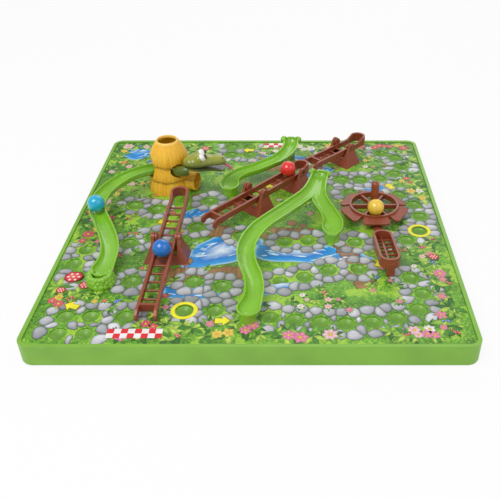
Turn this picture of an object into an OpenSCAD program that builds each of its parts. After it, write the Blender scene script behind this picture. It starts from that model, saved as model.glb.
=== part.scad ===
/* [Board] */
// Side of the square tray
board_side = 310; // [290:5:340]
// Height of the tray, from the table to the top of its rim
tray_h = 18; // [16.5:0.5:22]
// Radius of the tray's corners, seen from above
corner_r = 9; // [7:0.5:14]
// Width of the rim that frames the card
rim_w = 3; // [2.6:0.2:4]
// Radius of the tray's lower outside edge
foot_edge_r = 2.4; // [1:0.2:2.6]
// Thickness of the tray's side walls
wall_t = 3.8; // [3.6:0.2:4.6]
// Thickness of the deck under the card
deck_t = 5.6; // [5:0.2:7]
// How far the card lies below the top of the rim
card_drop = 1; // [0.6:0.1:2]
// Thickness of the printed card
card_t = 0.8; // [0.5:0.1:1.2]
// Thickness of the stiffening ribs under the deck
rib_t = 1.6; // [1.2:0.2:2.4]
// How far the ribs hang below the deck
rib_h = 3.6; // [2:0.2:3.8]
// Diameter of the holes that the balls rest in
well_d = 12; // [10:0.5:13]
// Depth of the dished wells, from the face of the card
well_depth = 3.4; // [2:0.2:3.8]

/* [Balls] */
// Diameter of a ball
ball_d = 14; // [13.4:0.2:14.6]

/* [Ladders] */
// Clear width between a ladder's two rails
rail_gap = 10.8; // [10:0.2:11.4]
// Thickness of a rail
rail_t = 2; // [1.6:0.1:2.4]
// Depth of a rail
rail_h = 5; // [4:0.2:6]
// How far the rails hang below the pivot
rail_drop = 1.5; // [1:0.1:2.2]
// Distance from one rung to the next
rung_pitch = 9; // [8:0.2:10]
// Diameter of a rung
rung_d = 1.8; // [1.4:0.1:2.2]
// How far the end wall of a ladder rises above its rails
arch_rise = 3.5; // [2:0.25:5]
// Length of the bare gap in front of the end wall
catch_gap = 13; // [10:0.5:15]
// Length of the prongs at a ladder's foot
prong_len = 9.5; // [7:0.5:12]
// How far the prongs reach below the rails
prong_drop = 2; // [1:0.2:3]
// Height of the pivot above the card
pivot_h = 16.5; // [15.5:0.25:18]
// Diameter of the pivot pins
pin_d = 2.9; // [2.4:0.1:3.4]
// Front ladder: pivot to the tips of its prongs
front_ladder_reach = 82; // [70:1:88]
// Front ladder: pivot to its end wall
front_ladder_tail = 66; // [56:1:72]
// Front ladder: how far its foot tips down
front_ladder_tip = 5.4; // [3:0.1:5.4]
// Middle ladder: pivot to the tips of its prongs
middle_ladder_reach = 58; // [50:1:62]
// Middle ladder: pivot to its end wall
middle_ladder_tail = 68; // [62:1:68]
// Back ladder: pivot to the tips of its prongs
back_ladder_reach = 49; // [42:1:49]
// Back ladder: pivot to its end wall
back_ladder_tail = 29; // [26:1:33]

/* [Stands] */
// Width of a stand's base, across its ladder
stand_w = 34; // [30:0.5:38]
// Twice the reach of a stand's base before its pivot, towards the prongs
stand_l = 27; // [24:0.5:30]
// How far a stand's base reaches behind its pivot, towards the end wall
stand_back_l = 6; // [5:0.25:8]
// Thickness of a stand's walls
stand_wall = 1.8; // [1.4:0.1:2.2]
// Thickness of the ears that hold the pivot pins
ear_t = 2.6; // [2:0.1:3]
// Radius of the rounded top of an ear
ear_r = 3.8; // [3.2:0.1:4.4]

/* [Slides] */
// Outside width of a slide
slide_w = 14.2; // [13.8:0.1:15]
// Outside depth of a slide
slide_depth = 7; // [6.6:0.1:7.6]
// Width of a slide's rims
slide_rim = 1.2; // [1:0.1:1.4]
// Depth of a slide's channel
channel_depth = 5.2; // [4.6:0.1:5.4]
// Height of the slides' lower rims above the card
slide_low_h = 8.4; // [8.2:0.1:9]
// Height of the forked slide's upper rim above the card
fork_top_h = 29; // [26:0.5:30]
// Height of the back slide's upper rim above the card
back_top_h = 25; // [22:0.5:27]
// Height of the hut slide's upper rim above the card
hut_top_h = 23; // [21:0.5:24]

/* [Hut] */
// Height of the hut above the card
hut_h = 47; // [44:0.5:50]
// Radius of the hut at its foot
hut_foot_r = 20.5; // [20:0.25:22]
// Radius of the hut's dome
hut_dome_r = 17.2; // [16.8:0.1:18]
// Thickness of the hut's walls
hut_wall = 1.6; // [1.2:0.1:2]
// Diameter of the opening at the top of the hut
hut_mouth_d = 16.2; // [15.6:0.2:17]

/* [Snake] */
// Length of the snake's head
head_l = 37; // [34:0.5:40]
// Width of the snake's head
head_w = 19; // [17:0.5:21]
// Diameter of the snake's neck
neck_d = 9; // [8:0.25:10]

/* [Mill] */
// Radius of the mill wheel's ring
ring_r = 21; // [20:0.25:22]
// Reach of the mill wheel's paddles
paddle_reach = 31; // [29:0.5:33]
// Height of the mill wheel's ring above the card
ring_h = 10.5; // [10:0.25:12]
// Diameter of the mill's post
post_d = 5; // [4:0.2:6]
// Height of the mill's post above the card
post_h = 32; // [28:0.5:36]
// Outside width of the mill's trough
trough_w = 15.6; // [15:0.2:17]
// Length of the mill's trough
trough_l = 49; // [44:0.5:50]

/* [Hidden] */

$fn = 48;
over = 1;
seat_gap = 0.3;
run_gap = 0.08;
peg_d = 3;
peg_l = 3.6;
peg_gap = 0.15;
half = 0.5;

card_z = tray_h - card_drop;
deck_z = card_z - card_t;
pocket_r = corner_r - rim_w;
tray_half = half * board_side;

green_tray = [0.50, 0.71, 0.30];
green_slide = [0.55, 0.80, 0.29];
card_green = [0.36, 0.60, 0.22];
brown = [0.50, 0.27, 0.20];
straw = [0.98, 0.71, 0.18];
olive = [0.62, 0.62, 0.20];

// Places on the card, as shares of the board's side
well_shares = [
  [-0.418, -0.397], [-0.361, -0.397], [-0.418, -0.455], [-0.361, -0.455],
  [-0.284, -0.398], [-0.154, -0.377], [-0.084, -0.378],
  [0.042, -0.400], [0.098, -0.408], [0.155, -0.416], [0.211, -0.421],
  [0.270, -0.416], [0.326, -0.402], [0.379, -0.371], [0.397, -0.315],
  [0.377, -0.255], [0.253, -0.218], [0.182, -0.223], [0.119, -0.250],
  [0.063, -0.269], [-0.077, -0.287], [-0.145, -0.268], [-0.295, -0.268],
  [-0.431, -0.250], [-0.452, -0.195], [-0.437, -0.137], [-0.334, -0.105],
  [-0.276, -0.077], [-0.168, -0.029], [-0.045, -0.071], [0.073, -0.100],
  [0.131, -0.094], [0.255, -0.103], [0.392, -0.092], [0.431, -0.047],
  [0.444, 0.026], [0.435, 0.090], [0.400, 0.145], [0.258, 0.156],
  [-0.146, 0.108], [-0.289, 0.063], [-0.356, 0.084],
  [0.240, 0.235], [0.297, 0.235], [0.355, 0.242], [0.403, 0.273],
  [0.432, 0.319], [0.420, 0.379], [0.376, 0.410],
  [-0.106, 0.456], [-0.048, 0.456], [-0.106, 0.400], [-0.048, 0.399]
];

hut_at = board_side * [-0.2665, 0.1968];
mill_at = board_side * [0.3161, 0.0387];
front_stand_at = board_side * [-0.2226, -0.1565];
middle_stand_at = board_side * [-0.0106, 0.0790];

// Headings of the ladders, from +X towards +Y
front_heading = 87.5;
middle_heading = 49.6;
back_heading = 45.4;
landing_back = 17;
foot_clear = 4;
landing_at = middle_stand_at + (middle_ladder_tail - landing_back) * heading_of(middle_heading);
back_stand_at = middle_stand_at + (middle_ladder_tail + foot_clear) * heading_of(middle_heading)
  + back_ladder_reach * heading_of(back_heading);

function unit(v) = v / norm(v);
function heading_of(angle) = [cos(angle), sin(angle)];

// A point on a smooth curve through a list of points, at u spans from its start
function curve_at(points, u) =
  let (
    last = len(points) - 1,
    i = min(floor(u), last - 1),
    t = u - i,
    a = points[max(i - 1, 0)],
    b = points[i],
    c = points[i + 1],
    d = points[min(i + 2, last)]
  )
  b + half * (t * (c - a) + t * t * (2 * a - 5 * b + 4 * c - d) + t * t * t * (3 * b - a - 3 * c + d));

// A plate with rounded corners, as wide as side, standing on z = 0
module rounded_plate(side, radius, height) {
  inner = side - 2 * radius;
  translate([-half * inner, -half * side, 0]) cube([inner, side, height]);
  translate([-half * side, -half * inner, 0]) cube([side, inner, height]);
  for (x = [-1, 1], y = [-1, 1])
    translate([x * half * inner, y * half * inner, 0]) cylinder(r = radius, h = height);
}

// The tray's outside, with a rounded lower edge
module tray_block() {
  inner = board_side - 2 * corner_r;
  module edge_profile() {
    difference() {
      union() {
        translate([0, foot_edge_r]) square([corner_r, tray_h - foot_edge_r]);
        square([corner_r - foot_edge_r, tray_h]);
        translate([corner_r - foot_edge_r, foot_edge_r]) circle(r = foot_edge_r);
      }
      translate([-over - foot_edge_r, -over]) square([over + foot_edge_r, tray_h + 2 * over]);
    }
  }
  translate([-half * inner, -half * inner, 0]) cube([inner, inner, tray_h]);
  for (turn = [0:90:270]) rotate([0, 0, turn]) {
    translate([half * inner, half * inner, 0]) rotate_extrude(angle = 90) edge_profile();
    translate([half * inner, half * inner, 0]) rotate([90, 0, 0]) linear_extrude(inner) edge_profile();
  }
}

// The lines that the slides follow over the card, as shares of the board's side
hut_slide_shares = [
  [-0.2423, 0.2059], [-0.3307, 0.1794], [-0.3858, 0.1450], [-0.4241, 0.0838], [-0.4370, 0.0270],
  [-0.4277, -0.0242], [-0.3970, -0.0849], [-0.3691, -0.1511], [-0.3605, -0.2068], [-0.3680, -0.2811]
];
fork_left_shares = [
  [0, 0], [-0.0278, -0.0889], [-0.0722, -0.1446], [-0.1235, -0.1972], [-0.1666, -0.2447],
  [-0.1922, -0.3067], [-0.1908, -0.3656], [-0.1722, -0.4235], [-0.1685, -0.4805], [-0.1847, -0.5481]
];
fork_right_shares = [
  [0, 0], [-0.0129, -0.0878], [-0.0073, -0.1286], [0.0103, -0.1619], [0.0233, -0.1949],
  [0.0227, -0.2157], [0.0214, -0.2317]
];
back_slide_shares = [
  [0.0878, 0.3657], [0.0830, 0.3079], [0.0556, 0.2602], [0.0208, 0.2376], [-0.0155, 0.2192],
  [-0.0507, 0.2086], [-0.0781, 0.1908], [-0.0903, 0.1656], [-0.0898, 0.1293]
];

fork_at = board_side * [0.1722, 0.1222];
hut_slide_points = board_side * hut_slide_shares;
fork_left_points = [for (s = fork_left_shares) fork_at + board_side * s];
fork_right_points = [for (s = fork_right_shares) fork_at + board_side * s];
back_slide_points = board_side * back_slide_shares;

// How far along its slide each pillar stands, in spans between two points
fork_pillar_u = 0.22;
back_pillar_u = 0.35;
hut_post_u = 0.28;

// Where the fixed pieces are pegged through the card into the deck
function stand_pegs(at, angle) = [
  for (reach = [stand_wall - half * stand_l, stand_back_l - stand_wall]) at + reach * heading_of(angle)
];
hut_pegs = [for (turn = [60, 130, 290]) hut_at + (hut_foot_r - 0.8 * peg_d) * heading_of(turn)];
fork_pillar_at = curve_at(fork_left_points, fork_pillar_u);
back_pillar_at = curve_at(back_slide_points, back_pillar_u);
all_pegs = concat(
  stand_pegs(front_stand_at, front_heading), stand_pegs(middle_stand_at, middle_heading),
  stand_pegs(landing_at, middle_heading), stand_pegs(back_stand_at, back_heading),
  hut_pegs, [hut_at, fork_pillar_at, back_pillar_at, mill_at]
);

module pegs(places) {
  for (p = places) translate([p[0], p[1], card_z - peg_l]) cylinder(d = peg_d, h = peg_l + half * over);
}
module peg_holes() {
  for (p = all_pegs)
    translate([p[0], p[1], 0]) cylinder(r = half * peg_d + peg_gap, h = tray_h + over);
}

module base_tray() color(green_tray) {
  under = deck_z - deck_t;
  dish_r = (well_d * well_d / 4 + well_depth * well_depth) / (2 * well_depth);
  difference() {
    tray_block();
    translate([0, 0, deck_z]) rounded_plate(board_side - 2 * rim_w, pocket_r, tray_h);
    translate([0, 0, -over]) rounded_plate(board_side - 2 * wall_t, corner_r - wall_t, under + over);
    peg_holes();
    for (s = well_shares)
      translate([board_side * s[0], board_side * s[1], card_z - well_depth + dish_r]) sphere(r = dish_r);
  }
  for (share = [-0.25, 0, 0.25], turn = [0, 90])
    rotate([0, 0, turn])
      translate([board_side * share - half * rib_t, wall_t - tray_half, under - rib_h])
        cube([rib_t, board_side - 2 * wall_t, rib_h]);
}

module printed_card() color(card_green) {
  card_side = board_side - 2 * rim_w - seat_gap;
  translate([0, 0, deck_z]) difference() {
    rounded_plate(card_side, pocket_r, card_t);
    translate([0, 0, -deck_z]) peg_holes();
    for (s = well_shares)
      translate([board_side * s[0], board_side * s[1], -over]) cylinder(d = well_d, h = card_t + 2 * over);
  }
}

// Ladders. Each one lies along Y, with its end wall at +Y and its pivot at the origin
ear_play = 1.5;
pin_end = 0.4;
prong_flare = 3;
boss_r = ear_r - 0.4;
rung_lift = 0.3;
rail_out = half * rail_gap + rail_t;
rail_top = -rail_drop;
rail_foot = rail_top - rail_h;
ear_in = rail_out + ear_play;
ear_out = ear_in + ear_t;
pivot_z = card_z + pivot_h;

module ladder_bow(run) {
  difference() {
    union() {
      circle(r = rail_out);
      translate([-rail_out, -run]) square([2 * rail_out, run]);
    }
    circle(r = rail_out - rail_t);
    translate([rail_t - rail_out, -run - over]) square([2 * (rail_out - rail_t), run + over]);
  }
}

module ladder_rails(reach, tail) {
  foot_y = prong_len - reach;
  crown_y = tail - rail_out;
  translate([0, crown_y, rail_foot]) linear_extrude(rail_h) ladder_bow(crown_y - foot_y);
  translate([0, crown_y, rail_top - rail_t]) linear_extrude(rail_t + arch_rise) difference() {
    ladder_bow(rail_t);
    translate([-rail_out - over, -2 * rail_out]) square([2 * (rail_out + over), 2 * rail_out]);
  }
  for (s = [-1, 1])
    translate([s * (rail_out - half * rail_t) - half * rail_t, crown_y, rail_top]) rotate([90, 0, 90])
      linear_extrude(rail_t) polygon([[0, 0], [0, arch_rise], [-2 * arch_rise, 0], [-arch_rise, -rail_t], [0, -rail_t]]);
  for (y = [foot_y + rung_pitch : rung_pitch : tail - rail_t - catch_gap])
    translate([-half * rail_gap - half * rail_t, y, rail_foot + half * rung_d + rung_lift])
      rotate([0, 90, 0]) cylinder(d = rung_d, h = rail_gap + rail_t);
}

module ladder_foot(reach) {
  foot_y = prong_len - reach;
  plate_h = rail_h + prong_drop;
  translate([0, foot_y + rail_t, rail_top]) rotate([90, 0, 0]) linear_extrude(rail_t) difference() {
    translate([-rail_out + half * rail_t, -plate_h]) square([2 * rail_out - rail_t, plate_h]);
    translate([0, -plate_h - rail_gap]) circle(r = rail_gap + half * prong_drop);
  }
  for (s = [-1, 1])
    translate([s * (rail_out - half * rail_t), foot_y, rail_top]) rotate([0, 0, s * prong_flare])
      translate([-half * rail_t, 0, 0]) rotate([90, 0, 90]) linear_extrude(rail_t) polygon([
        [rail_t, 0], [-0.5 * prong_len, 0], [-0.9 * prong_len, -0.4 * rail_h],
        [-prong_len, -0.8 * rail_h], [-prong_len, -rail_h - 0.6 * prong_drop],
        [-0.9 * prong_len, -rail_h - prong_drop], [-0.75 * prong_len, -rail_h - prong_drop],
        [-0.5 * prong_len, -rail_h], [rail_t, -rail_h]
      ]);
}

module ladder(reach, tail) {
  ladder_rails(reach, tail);
  ladder_foot(reach);
  for (s = [0, 1]) mirror([s, 0, 0]) {
    translate([rail_out - seat_gap, 0, 0]) rotate([0, 90, 0]) {
      cylinder(r = boss_r, h = ear_play);
      cylinder(d = pin_d, h = ear_play + ear_t + seat_gap + pin_end);
    }
  }
}

module on_pivot(at, heading, tip = 0) {
  translate([at[0], at[1], pivot_z]) rotate([0, 0, heading - 90]) rotate([tip, 0, 0]) children();
}

module ladder_front() color(brown)
  on_pivot(front_stand_at, front_heading, front_ladder_tip) ladder(front_ladder_reach, front_ladder_tail);
module ladder_middle() color(brown)
  on_pivot(middle_stand_at, middle_heading) ladder(middle_ladder_reach, middle_ladder_tail);
module ladder_back() color(brown)
  on_pivot(back_stand_at, back_heading) ladder(back_ladder_reach, back_ladder_tail);

// Stands. A stand's shape is where its front outline and its side outline meet
notch_drop = 10;

function stand_reach(s, z) = ear_r + ((s < 0 ? half * stand_l : stand_back_l) - ear_r) * -z / pivot_h;
function stand_half_w(z) = ear_out + (half * stand_w - ear_out) * max(0, -z - ear_r) / (pivot_h - ear_r);

module stand_front_outline(inset, base_z, top_z) {
  low = max(base_z, -pivot_h);
  polygon([
    for (s = [-1, 1], z = s < 0 ? [base_z, -ear_r, top_z] : [top_z, -ear_r, base_z])
      [s * (stand_half_w(max(z, low)) - inset), z]
  ]);
}
module stand_side_outline(inset, base_z, top_z) {
  polygon([
    for (s = [-1, 1], z = s < 0 ? [base_z, top_z] : [top_z, base_z])
      [s * (stand_reach(s, max(z, -pivot_h)) - inset), z]
  ]);
}

module stand(notch) {
  difference() {
    intersection() {
      translate([0, stand_l, 0]) rotate([90, 0, 0]) linear_extrude(2 * stand_l)
        stand_front_outline(0, -pivot_h, ear_r);
      translate([-stand_w, 0, 0]) rotate([90, 0, 90]) linear_extrude(2 * stand_w) union() {
        stand_side_outline(0, -pivot_h, 0);
        circle(r = ear_r);
      }
    }
    intersection() {
      translate([0, stand_l, 0]) rotate([90, 0, 0]) linear_extrude(2 * stand_l)
        stand_front_outline(stand_wall, -pivot_h - over, -ear_r);
      translate([-stand_w, 0, 0]) rotate([90, 0, 90]) linear_extrude(2 * stand_w)
        stand_side_outline(stand_wall, -pivot_h - over, -ear_r);
    }
    translate([-ear_in, -stand_l, -notch]) cube([2 * ear_in, 2 * stand_l, notch + 2 * ear_r]);
    translate([-stand_w, 0, 0]) rotate([0, 90, 0]) cylinder(r = half * pin_d + run_gap, h = 2 * stand_w);
  }
}

module placed_stand(at, heading, notch) {
  on_pivot(at, heading) stand(notch);
  pegs(stand_pegs(at, heading));
}
module stand_front() color(brown) placed_stand(front_stand_at, front_heading, notch_drop);
module stand_middle() color(brown) placed_stand(middle_stand_at, middle_heading, notch_drop);
module stand_landing() color(brown) placed_stand(landing_at, middle_heading, seat_gap - rail_foot);
module stand_back() color(brown) placed_stand(back_stand_at, back_heading, notch_drop);

// Slides. A slide is a gutter swept along a curve, closed and rounded at both ends
sweep_steps = 28;
foot_h = 6.4;
pillar_margin = 0.25;
pillar_flare = 2.2;
arc_steps = 8;
end_share = 0.35;
cup_swell = 1.6;
ease_share = 0.6;
outer_power = 0.9;
channel_wall_share = 0.14;
fork_bend = 1.26;
knob_out = -0.4;
pillar_d = 7;
foot_r = 6.4;
knob_r = 3.4;

// One ring of a slide: place, heading, height of the rims, and how far it lies from its nearer end
function slide_ring(points, top_h, bend, u) =
  let (
    last = len(points) - 1,
    step = 0.01,
    at = curve_at(points, min(u, last)),
    ahead = unit(curve_at(points, min(u + step, last)) - curve_at(points, max(u - step, 0))),
    fall = pow(u / last, bend)
  )
  [at, ahead, card_z + top_h + (slide_low_h - top_h) * fall];
function ease(t) = t - ease_share * sin(360 * t) / (2 * PI);
function stations(points, top_h, bend) = [
  for (i = [0:sweep_steps]) slide_ring(points, top_h, bend, (len(points) - 1) * ease(i / sweep_steps))
];
function run_lengths(rings) = [
  for (i = 0, run = 0; i < len(rings); i = i + 1,
    run = run + (i < len(rings) ? norm(rings[i][0] - rings[i - 1][0]) : 0)) run
];

// Share of the full width left at a distance from a rounded end
function narrowing(away, radius, least) =
  away >= radius ? 1 : sqrt(1 - pow(1 - max(away, 0) / radius, 2) * (1 - least * least));
function swell(away, amount) = amount * exp(-pow((away - half * slide_w) / (half * slide_w), 2));

// The outline of a gutter or of its channel at one station, from one rim round to the other
function gutter_points(width, depth, lift, power, wall_share = 0) = concat(
  [for (k = [0:arc_steps]) let (a = 180 * k / arc_steps)
    [
      width * sign(cos(a)) * pow(abs(cos(a)), power),
      -depth * (wall_share + (1 - wall_share) * pow(sin(a), power))
    ]],
  lift > 0 ? [[-width, lift], [width, lift]] : []
);

module swept(rings, outlines) {
  sides = len(outlines[0]);
  last = len(rings) - 1;
  places = [
    for (i = [0:last], p = outlines[i])
      [rings[i][0][0] + p[0] * rings[i][1][1], rings[i][0][1] - p[0] * rings[i][1][0], rings[i][2] + p[1]]
  ];
  walls = [
    for (i = [0:last - 1], k = [0:sides - 1])
      let (a = i * sides + k, b = i * sides + (k + 1) % sides)
      each [[a, a + sides, b], [b, a + sides, b + sides]]
  ];
  caps = [[for (k = [0:sides - 1]) k], [for (k = [sides - 1:-1:0]) last * sides + k]];
  polyhedron(places, concat(caps, walls));
}

// Keeps the slides as one mesh each: their swept walls have no plane or round faces to rebuild
module one_mesh() { resize([0, 0, 0]) children(); }

module gutter(points, top_h, bend = 1) {
  rings = stations(points, top_h, bend);
  runs = run_lengths(rings);
  full = runs[len(runs) - 1];
  radius = half * slide_w;
  swept(rings, [
    for (run = runs)
      let (
        from_low = full - run,
        away = min(run, from_low),
        width = (radius + swell(from_low, cup_swell)) * narrowing(away, radius, end_share)
      )
      gutter_points(width, slide_depth * narrowing(away, radius, end_share), 0, outer_power)
  ]);
}

module channel(points, top_h, bend = 1) {
  rings = stations(points, top_h, bend);
  runs = run_lengths(rings);
  full = runs[len(runs) - 1];
  radius = half * slide_w - slide_rim;
  inner = [for (i = [0:len(runs) - 1]) if (runs[i] > slide_rim && full - runs[i] > slide_rim) i];
  swept([for (i = inner) rings[i]], [
    for (i = inner)
      let (
        from_low = full - runs[i],
        away = min(runs[i], from_low) - slide_rim,
        width = (radius + swell(from_low, cup_swell)) * narrowing(away, radius, end_share)
      )
      gutter_points(width, channel_depth * narrowing(away, radius, end_share), slide_depth, 1, channel_wall_share)
  ]);
}

module slide_foot(points) {
  foot = points[len(points) - 1] + unit(points[len(points) - 2] - points[len(points) - 1]) * foot_r;
  translate([foot[0], foot[1], card_z])
    cylinder(r = foot_r, h = foot_h, $fn = 20);
}

module slide_knobs(points, top_h) {
  ahead = unit(points[1] - points[0]);
  side = [ahead[1], -ahead[0]];
  for (s = [-1, 1]) {
    at = points[0] + knob_r * ahead + s * (half * slide_w + knob_out) * side;
    translate([at[0], at[1], card_z + top_h - half * knob_r]) sphere(r = knob_r, $fn = 20);
  }
}

module slide_back() color(green_slide) one_mesh() difference() {
  union() {
    gutter(back_slide_points, back_top_h);
    slide_foot(back_slide_points);
    slide_knobs(back_slide_points, back_top_h);
  }
  channel(back_slide_points, back_top_h);
}

module slide_hut() color(green_slide) one_mesh() difference() {
  union() {
    gutter(hut_slide_points, hut_top_h);
    slide_foot(hut_slide_points);
  }
  channel(hut_slide_points, hut_top_h);
}

module slide_fork() color(green_slide) one_mesh() difference() {
  union() {
    gutter(fork_left_points, fork_top_h);
    gutter(fork_right_points, fork_top_h, fork_bend);
    slide_foot(fork_left_points);
    slide_foot(fork_right_points);
    slide_knobs(fork_left_points, fork_top_h);
  }
  channel(fork_left_points, fork_top_h);
  channel(fork_right_points, fork_top_h, fork_bend);
}

// A pillar stands under a slide, a share of the way along its points
module pillar(at, points, top_h, u) {
  lowest = slide_ring(points, top_h, 1, u + pillar_margin)[2];
  translate([at[0], at[1], card_z]) {
    cylinder(d1 = pillar_d + 2 * pillar_flare, d2 = pillar_d, h = pillar_d * half);
    cylinder(d = pillar_d, h = lowest - card_z - slide_depth - seat_gap * half);
  }
  pegs([at]);
}
module fork_pillar() color(green_slide) pillar(fork_pillar_at, fork_left_points, fork_top_h, fork_pillar_u);
module back_pillar() color(green_slide) pillar(back_pillar_at, back_slide_points, back_top_h, back_pillar_u);
module hut_post() color(green_slide) pillar(hut_at, hut_slide_points, hut_top_h, hut_post_u);

// Hut. Its outline goes up the tiers as shares of the radius and of the height
hut_skirt_shares = [
  [1.000, 0.000], [0.985, 0.060], [0.930, 0.170], [0.870, 0.285], [0.930, 0.285],
  [0.905, 0.350], [0.815, 0.460], [0.765, 0.570]
];
hut_dome_shares = [
  [1.000, 0.570], [1.005, 0.620], [0.975, 0.700], [0.890, 0.800], [0.740, 0.890],
  [0.620, 0.945], [0.555, 0.975], [0.545, 1.000]
];
hut_room_shares = [[1.000, 0.000], [0.855, 0.285], [0.750, 0.560]];
hut_loft_shares = [[0.910, 0.610], [0.960, 0.690], [0.870, 0.800], [0.710, 0.890], [0.500, 0.960]];
hut_flange_w = 4.6;
door_gap = 1.1;
door_drop = 2;
door_head_h = 4;
tunnel_heading = -16;
tunnel_reach = 26;
tunnel_r = 8.8;
tunnel_wall = 1.4;
neck_heading = -56;
neck_hole_h = 23;
neck_hole_r = 6.2;

module hut_shell() color(straw) translate([hut_at[0], hut_at[1], card_z]) {
  door_line = hut_slide_points[1] - hut_slide_points[0];
  door_r = half * slide_w + door_gap;
  difference() {
    union() {
      rotate_extrude() polygon(concat(
        [[0, 0]], [for (s = hut_skirt_shares) [hut_foot_r * s[0], hut_h * s[1]]],
        [for (s = hut_dome_shares) [hut_dome_r * s[0], hut_h * s[1]]], [[0, hut_h]]
      ));
      rotate([0, 0, tunnel_heading]) translate([0, 0, tunnel_r]) rotate([0, 90, 0])
        cylinder(r = tunnel_r, h = tunnel_reach);
    }
    translate([0, 0, -over]) cylinder(r = hut_foot_r - hut_flange_w, h = 2 * over + hut_wall);
    rotate_extrude() polygon(concat(
      [[0, hut_wall]],
      [for (s = hut_room_shares) [hut_foot_r * s[0] - hut_wall, max(hut_h * s[1], hut_wall)]],
      [for (s = hut_loft_shares) [hut_dome_r * s[0] - hut_wall, hut_h * s[1]]], [[0, hut_h * 0.96]]
    ));
    cylinder(d = hut_mouth_d, h = hut_h + over);
    rotate([0, 0, atan2(door_line[1], door_line[0])]) {
      translate([half * hut_foot_r, -door_r, hut_top_h - slide_depth - door_drop])
        cube([hut_foot_r, 2 * door_r, slide_depth + door_drop + door_head_h]);
      translate([half * hut_foot_r, 0, hut_top_h + door_head_h]) rotate([0, 90, 0])
        cylinder(r = door_r, h = hut_foot_r);
    }
    rotate([0, 0, tunnel_heading]) translate([0, 0, tunnel_r]) rotate([0, 90, 0])
      cylinder(r = tunnel_r - tunnel_wall, h = tunnel_reach + over);
    rotate([0, 0, neck_heading]) translate([half * hut_foot_r, 0, neck_hole_h]) rotate([0, 90, 0])
      cylinder(r = neck_hole_r, h = hut_foot_r);
  }
  translate([-hut_at[0], -hut_at[1], -card_z]) pegs(hut_pegs);
}

// Snake. The head is two half shells along +X, the upper one with the brows and the lower one hinging open
skull_h = 8.2;
jaw_h = 4.2;
jaw_open = 9;
head_at = hut_at + [1.66 * hut_foot_r, -0.73 * hut_foot_r];
head_h = 32;
head_heading = 8;
neck_start = 10;
neck_run = 20;
neck_bend_r = 11;
neck_bend = 60;
neck_rise = 20;
eye_r = 3.9;
brow_r = 4.7;
pupil_r = 1.9;
tongue_l = 12;
tongue_w = 3.4;
tongue_t = 0.9;
head_shares = [
  [-0.50, 0.30], [-0.46, 0.58], [-0.38, 0.84], [-0.25, 1.00], [-0.10, 0.98], [0.05, 0.84],
  [0.18, 0.74], [0.30, 0.74], [0.40, 0.70], [0.46, 0.55], [0.50, 0.30]
];
brow_at = [-0.10 * head_l, 0.23 * head_w, 0.62 * skull_h];

// Half a head, from its flat mouth side up or down
module half_head(height) {
  swept(
    [for (s = head_shares) [[head_l * s[0], 0], [1, 0], 0]],
    [for (s = head_shares) [
      for (p = gutter_points(half * head_w * s[1], abs(height) * s[1], 0, outer_power))
        [-p[0] * sign(height), -p[1] * sign(height)]
    ]]
  );
}
module at_head() {
  translate([head_at[0], head_at[1], card_z + head_h]) rotate([0, 0, head_heading]) children();
}
module neck_solid() {
  translate([hut_at[0], hut_at[1], card_z + neck_hole_h - hut_dome_r * tan(neck_rise)])
    rotate([0, 0, neck_heading]) rotate([0, -neck_rise, 0]) {
      translate([neck_start, 0, 0]) rotate([0, 90, 0]) cylinder(d = neck_d, h = neck_run - neck_start);
      translate([neck_run, neck_bend_r, 0]) rotate([0, 0, -90]) rotate_extrude(angle = neck_bend)
        translate([neck_bend_r, 0]) circle(d = neck_d);
    }
}
module eyeballs(radius, reach = 0) {
  for (s = [-1, 1])
    translate([brow_at[0] + 0.3 * eye_r + reach, s * brow_at[1], brow_at[2] + 0.35 * eye_r + half * reach])
      sphere(r = radius);
}

module snake_neck() color(olive) difference() {
  neck_solid();
  at_head() half_head(skull_h);
  at_head() jaw_turn() half_head(-jaw_h);
}
module jaw_turn() {
  translate([-half * head_l, 0, 0]) rotate([0, jaw_open, 0]) translate([half * head_l, 0, -seat_gap * half])
    children();
}
module snake_head() color(olive) at_head() difference() {
  union() {
    half_head(skull_h);
    for (s = [-1, 1]) translate([brow_at[0], s * brow_at[1], brow_at[2]]) sphere(r = brow_r);
  }
  eyeballs(eye_r);
  translate([-head_l, -head_w, -head_l]) cube([2 * head_l, 2 * head_w, head_l]);
}
module snake_jaw() color(olive) at_head() jaw_turn() half_head(-jaw_h);
module snake_eyes() color("white") at_head() difference() {
  eyeballs(eye_r);
  eyeballs(pupil_r + half * seat_gap, 0.72 * eye_r);
}
module snake_pupils() color("black") at_head() eyeballs(pupil_r, 0.72 * eye_r);
module snake_tongue() color("deeppink") at_head()
  translate([0.40 * head_l, 0, -seat_gap - half * tongue_t]) rotate([0, 40, 0])
    linear_extrude(tongue_t) polygon([
      [0, -half * tongue_w], [0.7 * tongue_l, -half * tongue_w], [tongue_l, -0.8 * tongue_w],
      [0.8 * tongue_l, 0], [tongue_l, 0.8 * tongue_w], [0.7 * tongue_l, half * tongue_w], [0, half * tongue_w]
    ]);

// Mill. The trough runs up to the wheel, and its foot carries the collar that the wheel turns on
trough_gap = 9;
trough_turn = 2.6;
trough_pitch = 6;
trough_near_h = 15;
trough_far_h = 10;
trough_depth = 8;
trough_wall = 1.8;
stem_w = 6;
arm_w = 7;
arm_h = 3.2;
collar_r = 6;
hub_r = 5.5;
hub_h = 7;
ring_t = 1.8;
ring_depth = 5;
spoke_t = 1.8;
spoke_count = 6;
spoke_drop = 1;
paddle_t = 1.6;
paddle_w = 23;
paddle_tilt = 12;
post_head_d = 6.6;
trough_near_y = -paddle_reach - trough_gap;
wheel_foot_h = arm_h + seat_gap;

module racetrack(length, width, height) {
  translate([-half * width, half * width - length, 0]) cube([width, length - width, height]);
  for (y = [-half * width, half * width - length]) translate([0, y, 0]) cylinder(d = width, h = height);
}

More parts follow.
